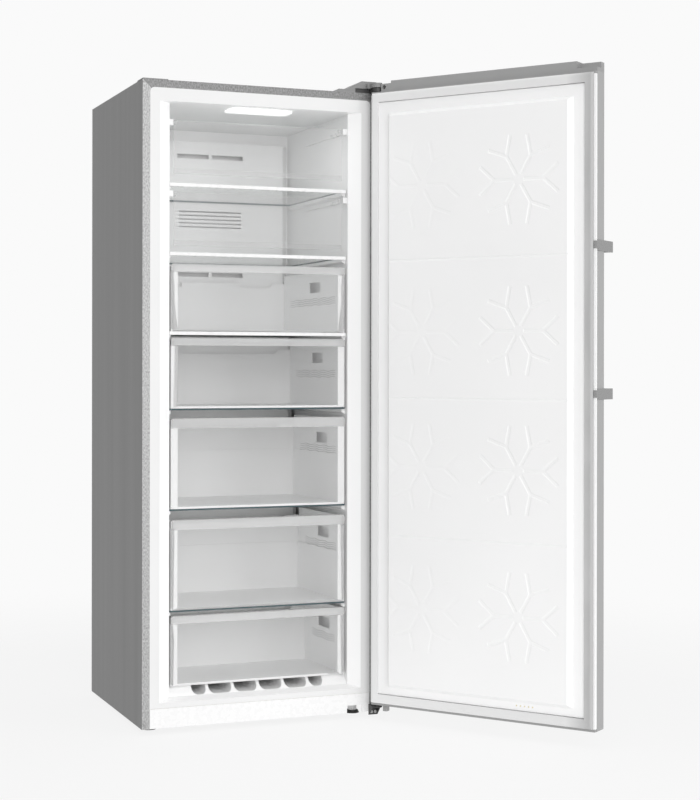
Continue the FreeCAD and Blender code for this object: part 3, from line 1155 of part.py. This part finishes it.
def door_top_cap():
    """Dark end cap: flat under the hinge, stepped up to the raised strip, lower at the free end."""
    low, base = DOOR_BODY_TOP - CAP_HEIGHT, DOOR_BODY_TOP
    front = DOOR_THICK - SHEET
    plate = slab(SHEET, WIDTH - SHEET, GASKET_THICK, front, low, base)
    step = slab(HINGE_IN + SWING_R, STRIP_START, STRIP_BACK, front, base, DOOR_STEP_TOP)
    strip = slab(STRIP_START, WIDTH - STRIP_SIDE, STRIP_BACK, front, base, TOP_Z + STRIP_RISE)
    end = slab(WIDTH - STRIP_SIDE, WIDTH, STRIP_BACK, front, base, TOP_Z + END_RISE)
    lip = slab(WIDTH - STRIP_SIDE, WIDTH, DOOR_THICK - 22, front, base, TOP_Z + FRONT_RISE)
    cap = fuse([plate, step, strip, end, lip, hinge_block(base - BUSH_LENGTH - 3, base)])
    hole_x = HINGE_X - SWING_R - 10
    hole = rod(6, (hole_x, 1 - STRIP_BACK, base + 14), (hole_x, -STRIP_BACK - 14, base + 14))
    return cap.cut(fuse([hole, module_pocket(0), bush_hole(base - BUSH_LENGTH, base + 1)]))


def module_pocket(inset):
    front = DOOR_THICK - SHEET
    return slab(WIDTH / 2 - 66 + inset, WIDTH / 2 + 66 - inset, front - 26 + inset, front,
                DOOR_STEP_TOP - 21 + inset, DOOR_STEP_TOP + 2 - inset)


def display_module():
    """Display and touch keys: a housing in the top cap with its window in the steel front."""
    window = slab(WIDTH / 2 - 60 + RUN, WIDTH / 2 + 60 - RUN, DOOR_THICK - SHEET - 1, DOOR_THICK,
                  DOOR_STEP_TOP - 17 + RUN, DOOR_STEP_TOP - 1 - RUN)
    return fuse([module_pocket(RUN), window])


def door_bottom_cap():
    """Lower end cap with the stop lug beside the hinge."""
    low, high = DOOR_BOTTOM, DOOR_BOTTOM + CAP_HEIGHT
    plate = slab(SHEET, WIDTH - SHEET, GASKET_THICK, DOOR_THICK - SHEET, low, high)
    lug = slab(HINGE_IN + SWING_R + 5, HINGE_IN + SWING_R + 19, 24, 42, low - LUG_DROP, low)
    lug = rounded(lug, 3, lambda e: runs_along(e, V(0, 0, 1)))
    cap = fuse([plate, lug, hinge_block(low, low + BUSH_LENGTH + 3)])
    return cap.cut(bush_hole(low - 1, low + BUSH_LENGTH))


def hinge_bushes():
    """Bearing bushes of the two hinge pins."""
    spans = ((DOOR_BOTTOM, DOOR_BOTTOM + BUSH_LENGTH), (DOOR_BODY_TOP - BUSH_LENGTH, DOOR_BODY_TOP))
    return Part.makeCompound([ring(BUSH_R, PIN_R + PIN_FIT, (HINGE_X, -HINGE_OUT, low),
                                   (HINGE_X, -HINGE_OUT, high)) for low, high in spans])


def handle_bracket(level):
    """Clip on the door's edge with an arm that carries the bar."""
    low, high = level - BRACKET_HEIGHT / 2, level + BRACKET_HEIGHT / 2
    tip = DOOR_THICK + HANDLE_OUT
    side = slab(WIDTH, WIDTH + BRACKET_WALL, BRACKET_BACK, tip, low, high)
    arm = slab(WIDTH - BAR_IN, WIDTH + BRACKET_WALL, tip - BAR_DEPTH, tip, low, high)
    arm = rounded(arm, 1.0, lambda e: abs(e.CenterOfMass.y + tip) < 0.01)
    foot = slab(WIDTH - 22, WIDTH + BRACKET_WALL, DOOR_THICK, DOOR_THICK + 3, low, high)
    back = BRACKET_BACK - BUTTON
    button = slab(WIDTH, WIDTH + 4, back, BRACKET_BACK, low + 6, high - 4)
    cap = slab(WIDTH - 4.5, WIDTH + 4, back - BUTTON_CAP, back, low + 6, high - 4)
    return fuse([side, arm, foot, button, cap])


def handle_bar():
    """Square bar with rounded corners, between and past the two brackets."""
    tip = DOOR_THICK + HANDLE_OUT
    low = BRACKET_LEVELS[1] - BAR_OVERHANG
    high = BRACKET_LEVELS[0] + BAR_OVERHANG
    bar = slab(WIDTH - BAR_IN - BAR_WIDTH, WIDTH - BAR_IN, tip - BAR_DEPTH, tip, low, high)
    return rounded(bar, 4.0, lambda e: runs_along(e, V(0, 0, 1)))


# ---- build --------------------------------------------------------------------------
def build():
    os.makedirs("parts", exist_ok=True)
    save("cabinet_shell", cabinet_shell())
    save("rear_panel", rear_panel())
    save("base_frame", base_frame())
    save("inner_liner", inner_liner())
    save("insulation_foam", insulation_foam())
    save("kick_plate", kick_plate())
    save("corner_cap", corner_cap())
    save("top_hinge_bracket", top_hinge_bracket())
    save("top_hinge_cover", top_hinge_cover())
    save("bottom_hinge_bracket", bottom_hinge_bracket())
    save("hinge_screws", hinge_screws())
    save("lamp_lens", lamp_lens())
    save("lamp_board", lamp_board())
    save("temperature_sensor", temperature_sensor())
    save("upper_shelf_panes", Part.makeCompound([shelf_pane(top, SHELF_FRONT) for top in UPPER_SHELVES]))
    save("lower_shelf_panes", Part.makeCompound([shelf_pane(top, SHELF_FRONT) for top in LOWER_SHELVES]))
    save("shelf_trims", Part.makeCompound([shelf_trim(top) for top in UPPER_SHELVES]))
    save("flap_brackets", flap_brackets())
    for index, (top, bottom) in enumerate(zip(FLAP_TOPS, FLAP_BOTTOMS)):
        save("flap_%d" % (index + 1), flap(top, bottom))
    for index in range(len(DRAWER_REARS)):
        save("drawer_%d_box" % (index + 1), drawer_box(index))
        save("drawer_%d_front" % (index + 1), drawer_front(index))
    save("duct_panel", duct_panel())
    save("evaporator", evaporator())
    save("defrost_heater", defrost_heater())
    save("evap_fan_motor", evap_fan_motor())
    save("evap_fan", fan_blades((0, EVAP_FAN_Y, FAN_Z), (0, 1, 0), FAN_R, 18.0, 5))
    save("drain_tube", drain_tube())
    save("drip_tray", drip_tray())
    save("compressor", compressor())
    save("compressor_grommets", compressor_grommets())
    save("condenser", condenser())
    save("condenser_fan_motor", condenser_fan_motor())
    save("condenser_fan", fan_blades((FAN_X, COMPRESSOR_Y, COND_FAN_Z), (1, 0, 0), COND_FAN_R, 18.0, 5))
    save("refrigerant_lines", refrigerant_lines())
    save("rear_cover", rear_cover())
    save("power_inlet", power_inlet())
    save("control_box", control_box())
    for name, sign in (("left", -1), ("right", 1)):
        save("front_foot_" + name, front_foot(sign))
        save("roller_" + name, roller(sign))
    save("door_outer_panel", door_outer_panel(), on_door=True)
    save("door_liner", door_liner(), on_door=True)
    save("door_foam", door_foam(), on_door=True)
    save("door_gasket", door_gasket(), on_door=True)
    save("door_top_cap", door_top_cap(), on_door=True)
    save("door_bottom_cap", door_bottom_cap(), on_door=True)
    save("display_module", display_module(), on_door=True)
    save("hinge_bushes", hinge_bushes(), on_door=True)
    save("handle_bar", handle_bar(), on_door=True)
    save("handle_brackets", Part.makeCompound([handle_bracket(z) for z in BRACKET_LEVELS]), on_door=True)


build()
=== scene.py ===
import json
import math

import bpy
from mathutils import Matrix, Vector
from mathutils.bvhtree import BVHTree


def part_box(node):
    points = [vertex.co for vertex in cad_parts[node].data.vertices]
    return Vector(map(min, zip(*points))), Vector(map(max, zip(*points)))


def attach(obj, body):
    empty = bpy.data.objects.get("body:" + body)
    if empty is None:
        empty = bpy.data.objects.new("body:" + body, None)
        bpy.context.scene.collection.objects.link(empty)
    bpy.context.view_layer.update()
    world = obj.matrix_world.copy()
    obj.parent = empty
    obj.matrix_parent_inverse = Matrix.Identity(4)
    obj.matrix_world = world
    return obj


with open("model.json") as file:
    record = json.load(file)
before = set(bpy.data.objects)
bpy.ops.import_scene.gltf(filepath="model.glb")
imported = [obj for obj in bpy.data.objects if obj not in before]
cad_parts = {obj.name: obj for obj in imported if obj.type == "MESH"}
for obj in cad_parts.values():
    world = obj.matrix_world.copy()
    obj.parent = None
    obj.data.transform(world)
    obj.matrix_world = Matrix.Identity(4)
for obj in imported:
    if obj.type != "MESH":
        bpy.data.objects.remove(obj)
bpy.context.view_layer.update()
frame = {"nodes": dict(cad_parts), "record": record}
NODES = frame["nodes"]

# ---- camera (fitted to the cabinet's and the door's edges in the photograph) ----------
CAMERA_AT = (-1.5636, -4.5409, 1.0306)
CAMERA_YAW = 0.3838
CAMERA_ROLL = 0.0013
FOCAL = 75.17            # mm
SENSOR_SIDE = 36.0       # mm, along the picture's longer side
SHIFT_Y = -0.0413
CLIP_END = 50.0

# ---- faint wave ribs on the drawers' side walls ----------------------------------------
RELIEF_DROPS = (0.090, 0.099, 0.096, 0.096, 0.097)    # middle of the ribs below the box's top
RELIEF_FRONT = 0.045     # from the box's front to the ribs
RELIEF_REAR = 0.060      # from the ribs to the box's rear
RELIEF_ROWS = 4
RELIEF_PITCH = 0.006
RELIEF_STATIONS = 48
WAVE_LENGTH = 0.072
WAVE_HEIGHT = 0.0018
RIB_WIDTH = 0.0026
RIB_CREST = 0.0008
RIB_RISE = 0.0014
RIB_SUNK = 0.0003
RIB_END_SHARE = 0.15     # share of the rise that a rib has at its two ends
RIB_GROWTH = 4.0         # added to that share per rib length from the nearer end

# ---- surfaces picked out by their direction or place (metres) --------------------------
FACING = 0.7             # part of the normal that counts as facing along an axis
FOLD_FACING = -0.5       # front returns of the cabinet's steel
FLANGE_FACING = -0.85
FLANGE_FRONT = -0.012
FLANGE_BACK = 0.02
BAND_START = 0.89        # hazy band along the top of a drawer's front, as a share of its height
PAD_TOP = 0.0085         # top of the dark pad under a front foot
FEET_BACK = 0.2          # the front feet lie before this, the rollers behind it

# ---- finish and light -----------------------------------------------------------------
STOPS = (0.3, 0.7)       # where a ramp over noise starts and ends
WIDE_STOPS = (0.2, 0.8)
SPECKLE_STOPS = (0.34, 0.66)
GRAIN = 0.0004           # depth of a surface's grain
FINE_GRAIN = 0.0003
SHEET_IOR = 1.5
BACKDROP_LEVEL = 250
AMBIENT = 0.42
FLOOR_HALF = 7.0
FLOOR_SHADE = 0.11       # share of the floor that takes light and shadow
FLOOR_FADE = (1.2, 3.2)
LAMPS = (                # name, place, target, size and power in watts
    ("key", (-0.7, -5.2, 1.9), (0.0, 0.2, 0.9), (3.2, 2.8), 108.0),
    ("fill", (2.9, -3.8, 1.5), (0.3, 0.0, 0.9), (2.0, 2.4), 46.0),
    ("top", (0.0, -0.4, 3.6), (0.0, 0.0, 0.0), (2.4, 2.4), 20.0),
)
LENS_GLOW_BELOW = 0.004  # the cabinet's own lamp, under its lens
LENS_GLOW_LEAN = 0.05
LENS_GLOW_SIZE = (0.18, 0.06)
LENS_GLOW_POWER = 0.35


# ---- node helpers ---------------------------------------------------------------------
class Graph:
    """Small wrapper that adds and links shader nodes."""

    def __init__(self, name):
        self.material = bpy.data.materials.new(name)
        self.material.use_nodes = True
        self.tree = self.material.node_tree
        self.bsdf = self.tree.nodes["Principled BSDF"]
        self.coords = self.add("ShaderNodeTexCoord")

    def add(self, kind, **values):
        node = self.tree.nodes.new(kind)
        for key, value in values.items():
            setattr(node, key, value)
        return node

    def link(self, source, target):
        self.tree.links.new(source, target)

    def noise(self, scale, detail=2.0, stretch=(1, 1, 1)):
        mapping = self.add("ShaderNodeMapping")
        mapping.inputs["Scale"].default_value = stretch
        self.link(self.coords.outputs["Object"], mapping.inputs["Vector"])
        noise = self.add("ShaderNodeTexNoise")
        noise.inputs["Scale"].default_value = scale
        noise.inputs["Detail"].default_value = detail
        self.link(mapping.outputs["Vector"], noise.inputs["Vector"])
        return noise.outputs["Fac"]

    def ramp(self, source, stops):
        ramp = self.add("ShaderNodeValToRGB")
        elements = ramp.color_ramp.elements
        while len(elements) < len(stops):
            elements.new(0.5)
        for element, (place, colour) in zip(elements, stops):
            element.position = place
            element.color = rgba(colour)
        self.link(source, ramp.inputs["Fac"])
        return ramp.outputs["Color"]

    def mix(self, factor, first, second):
        """Colour mix; each argument is a socket or a plain value."""
        mix = self.add("ShaderNodeMix", data_type="RGBA")
        sockets = (mix.inputs["Factor"], mix.inputs[6], mix.inputs[7])
        for value, socket in zip((factor, first, second), sockets):
            if isinstance(value, bpy.types.NodeSocket):
                self.link(value, socket)
            else:
                socket.default_value = value if socket.name == "Factor" else rgba(value)
        return mix.outputs[2]

    def math(self, operation, first, second=0.0):
        node = self.add("ShaderNodeMath", operation=operation)
        for value, socket in ((first, node.inputs[0]), (second, node.inputs[1])):
            if isinstance(value, bpy.types.NodeSocket):
                self.link(value, socket)
            else:
                socket.default_value = value
        return node.outputs[0]

    def between(self, source, low, high, stops=STOPS):
        """Ramp between two colours."""
        return self.ramp(source, list(zip(stops, (low, high))))

    def spread(self, source, colour, share):
        """Ramp from a little under a colour to a little over it."""
        low = tuple(channel * (1 - share) for channel in colour)
        high = tuple(min(1.0, channel * (1 + share)) for channel in colour)
        return self.between(source, low, high)

    def gloss(self, source, low, high, stops=STOPS):
        """Uneven roughness between two values."""
        self.set(Roughness=self.between(source, (low,) * 3, (high,) * 3, stops))

    def axis(self, output, letter):
        split = self.add("ShaderNodeSeparateXYZ")
        self.link(self.coords.outputs[output], split.inputs["Vector"])
        return split.outputs[letter]

    def facing(self, letter):
        """1 where a face looks along an axis, either way."""
        return self.math("GREATER_THAN", self.math("ABSOLUTE", self.axis("Normal", letter)), FACING)

    def bump(self, height, strength, distance):
        bump = self.add("ShaderNodeBump")
        bump.inputs["Strength"].default_value = strength
        bump.inputs["Distance"].default_value = distance
        self.link(height, bump.inputs["Height"])
        self.link(bump.outputs["Normal"], self.bsdf.inputs["Normal"])

    def set(self, **values):
        for key, value in values.items():
            socket = self.bsdf.inputs[key.replace("_", " ")]
            if isinstance(value, bpy.types.NodeSocket):
                self.link(value, socket)
            elif isinstance(value, tuple):
                socket.default_value = rgba(value)
            else:
                socket.default_value = value


def rgba(colour):
    return tuple(colour) + (1.0,) if len(colour) == 3 else tuple(colour)


def grey(level):
    """Linear grey from a screen level of 0 to 255."""
    share = level / 255.0
    value = share / 12.92 if share <= 0.04045 else ((share + 0.055) / 1.055) ** 2.4
    return (value, value, value)


def tint(red, green, blue):
    return tuple(grey(level)[0] for level in (red, green, blue))


# ---- materials ------------------------------------------------------------------------
def plastic(name, colour, rough=0.35, spread=0.03, scale=60.0, bump=0.04):
    """Moulded plastic: faint mottling, uneven gloss and a fine moulded grain."""
    g = Graph(name)
    g.set(Base_Color=g.spread(g.noise(3.0, 3.0), colour, spread))
    g.gloss(g.noise(scale, 2.0), rough - 0.05, rough + 0.05)
    g.bump(g.noise(scale * 12, 2.0), bump, GRAIN)
    return g.material


def metal(name, colour, rough=0.4, stretch=(1, 1, 1), scale=400.0, bump=0.05,
          metallic=1.0, spread=0.06):
    """Metal or metallic paint with grain drawn out along one axis."""
    g = Graph(name)
    grain = g.noise(scale, 3.0, stretch)
    g.set(Base_Color=g.spread(grain, colour, spread), Metallic=metallic)
    g.gloss(grain, rough - 0.08, rough + 0.08, WIDE_STOPS)
    g.bump(grain, bump, FINE_GRAIN)
    return g.material


def pane_material(name, broad, face, edge, face_alpha, edge_alpha, rough, band=0.0):
    """Clear sheet whose broad faces look along the axis named by broad; band hazes its top."""
    g = Graph(name)
    is_face = g.facing(broad)
    tinted = g.between(g.noise(9.0, 3.0), face, tuple(channel * 0.97 for channel in face))
    g.set(Base_Color=g.mix(is_face, edge, tinted))
    at_top = g.math("GREATER_THAN", g.axis("Generated", "Z"), BAND_START)
    more = g.math("ADD", g.math("MULTIPLY", at_top, band), face_alpha - edge_alpha)
    g.set(Alpha=g.math("ADD", g.math("MULTIPLY", is_face, more), edge_alpha), IOR=SHEET_IOR)
    g.gloss(g.noise(25.0, 2.0), rough, rough + 0.04)
    return g.material


def cabinet_material():
    """Grey coated steel; its front returns are a coarser silver, and the top return is painted
    darker as painted shade.
    """
    g = Graph("cabinet_steel")
    front = g.math("LESS_THAN", g.axis("Normal", "Y"), FOLD_FACING)
    side = g.between(g.noise(14.0, 4.0, (0.2, 1.6, 0.04)), grey(105), grey(113))
    speckle = g.noise(330.0, 3.0, (1, 1, 0.5))
    upright = g.between(speckle, grey(138), grey(190), SPECKLE_STOPS)
    # painted shade: the top return is a darker copy of the same silver speckle
    level = g.between(speckle, grey(102), grey(148), SPECKLE_STOPS)
    low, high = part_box("cabinet_shell")
    from_side = g.math("SUBTRACT", high[0], g.math("ABSOLUTE", g.axis("Object", "X")))
    from_top = g.math("SUBTRACT", high[2], g.axis("Object", "Z"))
    top_shade_mask = g.math("GREATER_THAN", from_side, from_top)
    g.set(Base_Color=g.mix(front, side, g.mix(top_shade_mask, upright, level)))
    g.set(Metallic=0.3, Roughness=0.45)
    g.bump(speckle, 0.25, GRAIN)
    return g.material


def white_with_painted_light(name, patch, tones, gloss):
    """White plastic in two tones, the second one where patch gives 1; the tones are lit and shaded
    copies of one white, as painted light.
    """
    g = Graph(name)
    mottle = g.noise(3.0, 3.0)
    first, second = [g.between(mottle, grey(low), grey(high)) for low, high in tones]
    g.set(Base_Color=g.mix(patch(g), first, second))
    g.gloss(g.noise(60.0), *gloss)
    g.bump(g.noise(700.0), 0.04, GRAIN)
    return g.material


def on_flange(g):
    """1 on the cabinet's front flange, which keeps a plainer white while the cavity is painted
    lighter as painted light.
    """
    depth = g.axis("Object", "Y")
    ahead = g.math("LESS_THAN", depth, FLANGE_BACK)
    near = g.math("MULTIPLY", ahead, g.math("GREATER_THAN", depth, FLANGE_FRONT))
    return g.math("MULTIPLY", near, g.math("LESS_THAN", g.axis("Normal", "Y"), FLANGE_FACING))


def painted_light_floor_and_sides(g):
    """1 on a drawer's floor and side walls, which are painted lighter as painted light, 0 on its
    rear wall.
    """
    floor = g.math("GREATER_THAN", g.axis("Normal", "Z"), FACING)
    return g.math("MAXIMUM", g.facing("X"), floor)


def foot_material():
    """Dark pad under a white knurled wheel; the rollers stay dark."""
    g = Graph("foot_black")
    above = g.math("GREATER_THAN", g.axis("Object", "Z"), PAD_TOP)
    ahead = g.math("LESS_THAN", g.axis("Object", "Y"), FEET_BACK)
    mottle = g.noise(90.0)
    dark = g.between(mottle, grey(38), grey(52))
    pale = g.between(mottle, grey(214), grey(228))
    g.set(Base_Color=g.mix(g.math("MULTIPLY", above, ahead), dark, pale), Roughness=0.55)
    g.bump(g.noise(900.0), 0.08, FINE_GRAIN)
    return g.material


def lamp_material():
    """Milky lens that glows a little."""
    g = Graph("lamp_diffuser")
    milk = g.between(g.noise(30.0, 1.0), grey(246), grey(255))
    g.set(Base_Color=milk, Emission_Color=milk, Emission_Strength=0.5, Roughness=0.3)
    return g.material


def gasket_material():
    """Pale soft rubber with painted shade: greyer towards the door's free edge."""
    g = Graph("gasket")
    along = g.axis("Generated", "X")
    # painted shade towards the free edge, with a little random tone mixed in
    edge_shade_and_mottle = g.math("ADD", along, g.math("MULTIPLY", g.noise(6.0), 0.06))
    tones = [(0.0, grey(238)), (0.9, grey(228)), (1.0, grey(182))]
    g.set(Base_Color=g.ramp(edge_shade_and_mottle, tones), Roughness=0.6)
    g.bump(g.noise(400.0), 0.06, GRAIN)
    return g.material


def fins_material(name, colour):
    """Thin metal fins, their grain along Z."""
    return metal(name, colour, rough=0.35, stretch=(1, 1, 0.1), scale=300.0, bump=0.1)


def make_materials():
    """One material for each slot of the record, and two for pieces that need their own."""
    return {
        "cabinet_grey": cabinet_material(),
        "back_steel": metal("back_steel", grey(176), rough=0.5, scale=60.0, spread=0.08),
        "frame_steel": metal("frame_steel", grey(150), rough=0.5, scale=60.0, spread=0.1),
        # painted light: the cavity walls and bevel get a lighter white than the front flange
        "liner_white": white_with_painted_light("liner_white", on_flange,
                                      ((249, 252), (229, 233)), (0.28, 0.38)),
        "foam": plastic("foam", tint(226, 214, 160), rough=0.9, spread=0.08, bump=0.4),
        "trim_white": plastic("trim_white", grey(240), rough=0.28),
        "hinge_black": metal("hinge_black", grey(58), rough=0.45, scale=500.0,
                             metallic=0.3, bump=0.3),
        "cover_grey": plastic("cover_grey", grey(134), rough=0.5, spread=0.07, scale=160.0,
                              bump=0.1),
        "screw_steel": metal("screw_steel", grey(170), rough=0.3),
        "lamp": lamp_material(),
        "circuit": plastic("circuit", tint(40, 110, 60), rough=0.5, spread=0.15),
        "shelf_glass": pane_material("shelf_glass", "Z", tint(226, 234, 231), tint(58, 80, 86),
                                     0.16, 0.9, 0.04),
        # painted highlight: the clear front's near-white, nearly opaque edges
        "clear_plastic": pane_material("clear_plastic", "Y", grey(232), grey(242),
                                       0.10, 0.7, 0.06, band=0.3),
        # painted highlight: the flap's near-white, nearly opaque edges
        "clear_flap": pane_material("clear_flap", "Y", grey(232), grey(252), 0.10, 0.85, 0.06),
        # painted shade: the ribs are moulded in the drawers' white; this grey makes them show
        "relief": plastic("relief", grey(206), rough=0.4),
        # painted light: the drawers' floor and side walls get a lighter white than the rear wall
        "drawer_white": white_with_painted_light("drawer_white", painted_light_floor_and_sides,
                                       ((239, 243), (252, 255)), (0.3, 0.4)),
        "duct_white": plastic("duct_white", grey(242), rough=0.4, spread=0.015),
        "coil_aluminium": fins_material("coil_aluminium", grey(200)),
        "heater_metal": metal("heater_metal", grey(140), rough=0.35),
        "fan_plastic": plastic("fan_plastic", grey(205), rough=0.5),
        "motor_grey": plastic("motor_grey", grey(90), rough=0.5, spread=0.08),
        "compressor_black": metal("compressor_black", grey(34), rough=0.3, metallic=0.2,
                                  scale=90.0, bump=0.2),
        "rubber_black": plastic("rubber_black", grey(38), rough=0.8, spread=0.1, bump=0.2),
        "tray_plastic": plastic("tray_plastic", grey(70), rough=0.5),
        "condenser_black": fins_material("condenser_black", grey(48)),
        "copper": metal("copper", tint(196, 128, 92), rough=0.35, scale=120.0),
        "foot_black": foot_material(),
        "door_steel": metal("door_steel", grey(172), rough=0.5, stretch=(1, 1, 0.02),
                            scale=900.0, bump=0.08, metallic=0.5),
        "gasket": gasket_material(),
        "cap_grey": plastic("cap_grey", grey(156), rough=0.45, spread=0.04),
        "display": plastic("display", grey(24), rough=0.15),
        "bush": plastic("bush", grey(226), rough=0.4),
        "handle_bar": metal("handle_bar", grey(200), rough=0.25, stretch=(1, 1, 0.03), scale=700.0),
        "handle_bracket": metal("handle_bracket", grey(150), rough=0.3, scale=300.0),
    }


def dress_nodes(materials):
    """Give every node of the frame its material, by the slot that the record names."""
    special = {"flap_1": "clear_flap", "flap_2": "clear_flap"}
    for part in frame["record"]["subparts"]:
        thing = NODES[part["node"]]
        for place in thing.material_slots:
            place.material = materials[special.get(part["node"], part["material_slot"])]


# ---- mesh pieces ----------------------------------------------------------------------
def wall_finder(node):
    """Tree for casting rays at a node's faces, which lie in the frame's own coordinates."""
    mesh = NODES[node].data
    corners = [vertex.co.copy() for vertex in mesh.vertices]
    return BVHTree.FromPolygons(corners, [tuple(face.vertices) for face in mesh.polygons])


def wave_rib(tree, side, level, start, end):
    """One rib on a side wall: stations of four corners, joined into a closed strip."""
    corners, faces = [], []
    for index in range(RELIEF_STATIONS + 1):
        depth = start + (end - start) * index / RELIEF_STATIONS
        height = level + WAVE_HEIGHT * math.sin(2 * math.pi * (depth - start) / WAVE_LENGTH)
        wall = tree.ray_cast(Vector((0.0, depth, height)), Vector((side, 0.0, 0.0)))[0].x
        inside = min(index, RELIEF_STATIONS - index) / RELIEF_STATIONS
        crest = RIB_RISE * min(1.0, RIB_GROWTH * inside + RIB_END_SHARE)
        for half, rise in ((-RIB_WIDTH / 2, -RIB_SUNK), (-RIB_CREST / 2, crest),
                           (RIB_CREST / 2, crest), (RIB_WIDTH / 2, -RIB_SUNK)):
            corners.append((wall - side * rise, depth, height + half))
    for index in range(RELIEF_STATIONS):
        first, after = 4 * index, 4 * index + 4
        for turn in range(4):
            following = (turn + 1) % 4
            faces.append((first + turn, first + following, after + following, after + turn))
    last = 4 * RELIEF_STATIONS
    faces += [(3, 2, 1, 0), (last, last + 1, last + 2, last + 3)]
    if side < 0:
        faces = [face[::-1] for face in faces]
    return corners, faces


def drawer_relief(number, drop, material):
    """Rows of shallow waves under both grip openings of one drawer."""
    node = "drawer_%d_box" % number
    low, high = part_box(node)
    tree = wall_finder(node)
    corners, faces = [], []
    for side in (-1.0, 1.0):
        for row in range(RELIEF_ROWS):
            level = high[2] - drop + RELIEF_PITCH * (row - (RELIEF_ROWS - 1) / 2)
            more, rib = wave_rib(tree, side, level, low[1] + RELIEF_FRONT, high[1] - RELIEF_REAR)
            faces += [tuple(corner + len(corners) for corner in face) for face in rib]
            corners += more
    name = "drawer_%d_relief" % number
    mesh = bpy.data.meshes.new(name)
    mesh.from_pydata(corners, [], faces)
    piece = bpy.data.objects.new(name, mesh)
    bpy.context.scene.collection.objects.link(piece)
    mesh.materials.append(material)
    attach(piece, "drawer_%d" % number)


# ---- stage ----------------------------------------------------------------------------
def make_floor():
    """Floor as pale as the backdrop, which keeps the shadow and fades out far away."""
    mesh = bpy.data.meshes.new("floor")
    signs = ((-1, -1), (1, -1), (1, 1), (-1, 1))
    mesh.from_pydata([(x * FLOOR_HALF, y * FLOOR_HALF, 0) for x, y in signs], [], [(0, 1, 2, 3)])
    floor = bpy.data.objects.new("floor", mesh)
    bpy.context.scene.collection.objects.link(floor)
    g = Graph("floor")
    glow = g.add("ShaderNodeEmission")
    glow.inputs["Color"].default_value = rgba(grey(BACKDROP_LEVEL))
    glow.inputs["Strength"].default_value = 1.0
    blend = g.add("ShaderNodeMixShader")
    blend.inputs["Fac"].default_value = FLOOR_SHADE
    g.set(Base_Color=g.between(g.noise(2.0), grey(244), grey(248)), Roughness=0.9)
    g.link(glow.outputs[0], blend.inputs[1])
    g.link(g.bsdf.outputs[0], blend.inputs[2])
    far = g.add("ShaderNodeMixShader")
    clear_end = g.add("ShaderNodeBsdfTransparent")
    length = g.add("ShaderNodeVectorMath", operation="LENGTH")
    g.link(g.coords.outputs["Object"], length.inputs[0])
    fade = g.add("ShaderNodeMapRange", interpolation_type="SMOOTHSTEP")
    fade.inputs["From Min"].default_value, fade.inputs["From Max"].default_value = FLOOR_FADE
    g.link(length.outputs["Value"], fade.inputs["Value"])
    g.link(fade.outputs["Result"], far.inputs["Fac"])
    g.link(blend.outputs[0], far.inputs[1])
    g.link(clear_end.outputs[0], far.inputs[2])
    g.link(far.outputs[0], g.tree.nodes["Material Output"].inputs["Surface"])
    mesh.materials.append(g.material)


def make_world():
    """Plain ambient light; the camera, glass and metal see the pale backdrop instead."""
    world = bpy.data.worlds.new("studio")
    world.use_nodes = True
    tree = world.node_tree
    nodes, links = tree.nodes, tree.links
    ambient = nodes["Background"]
    ambient.inputs["Color"].default_value = (1.0, 1.0, 1.0, 1.0)
    ambient.inputs["Strength"].default_value = AMBIENT
    seen = nodes.new("ShaderNodeBackground")
    seen.inputs["Color"].default_value = rgba(grey(BACKDROP_LEVEL))
    path = nodes.new("ShaderNodeLightPath")
    sees = path.outputs["Is Camera Ray"]
    for ray in ("Is Transmission Ray", "Is Glossy Ray"):
        either = nodes.new("ShaderNodeMath")
        either.operation = "MAXIMUM"
        links.new(sees, either.inputs[0])
        links.new(path.outputs[ray], either.inputs[1])
        sees = either.outputs[0]
    mix = nodes.new("ShaderNodeMixShader")
    links.new(sees, mix.inputs["Fac"])
    links.new(ambient.outputs[0], mix.inputs[1])
    links.new(seen.outputs[0], mix.inputs[2])
    links.new(mix.outputs[0], nodes["World Output"].inputs["Surface"])
    bpy.context.scene.world = world


def area_light(name, place, target, size, power):
    lamp = bpy.data.lights.new(name, "AREA")
    lamp.shape = "RECTANGLE"
    lamp.size, lamp.size_y = size
    lamp.energy = power
    thing = bpy.data.objects.new(name, lamp)
    thing.location = place
    thing.rotation_euler = (Vector(target) - Vector(place)).to_track_quat("-Z", "Y").to_euler()
    bpy.context.scene.collection.objects.link(thing)


def make_lights():
    """Studio lamps, and the cabinet's own lamp under its lens."""
    for lamp in LAMPS:
        area_light(*lamp)
    low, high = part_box("lamp_lens")
    across, along = [(first + last) / 2 for first, last in zip(low[:2], high[:2])]
    under = (across, along, low[2] - LENS_GLOW_BELOW)
    target = (across, along + LENS_GLOW_LEAN, 0.0)
    area_light("lamp", under, target, LENS_GLOW_SIZE, LENS_GLOW_POWER)


def make_camera():
    lens = bpy.data.cameras.new("camera")
    lens.sensor_width = SENSOR_SIDE
    lens.lens = FOCAL
    lens.shift_y = SHIFT_Y
    lens.clip_end = CLIP_END
    camera = bpy.data.objects.new("camera", lens)
    camera.location = CAMERA_AT
    turn = Matrix.Rotation(-CAMERA_YAW, 3, "Z") @ Matrix.Rotation(math.pi / 2, 3, "X")
    camera.rotation_euler = (turn @ Matrix.Rotation(CAMERA_ROLL, 3, "Z")).to_euler()
    bpy.context.scene.collection.objects.link(camera)
    bpy.context.scene.camera = camera


# ---- assembly -------------------------------------------------------------------------
make_camera()
make_world()
make_lights()
make_floor()
materials = make_materials()
dress_nodes(materials)
for place, relief_drop in enumerate(RELIEF_DROPS, 1):
    drawer_relief(place, relief_drop, materials["relief"])
bpy.context.scene.view_settings.view_transform = "Standard"
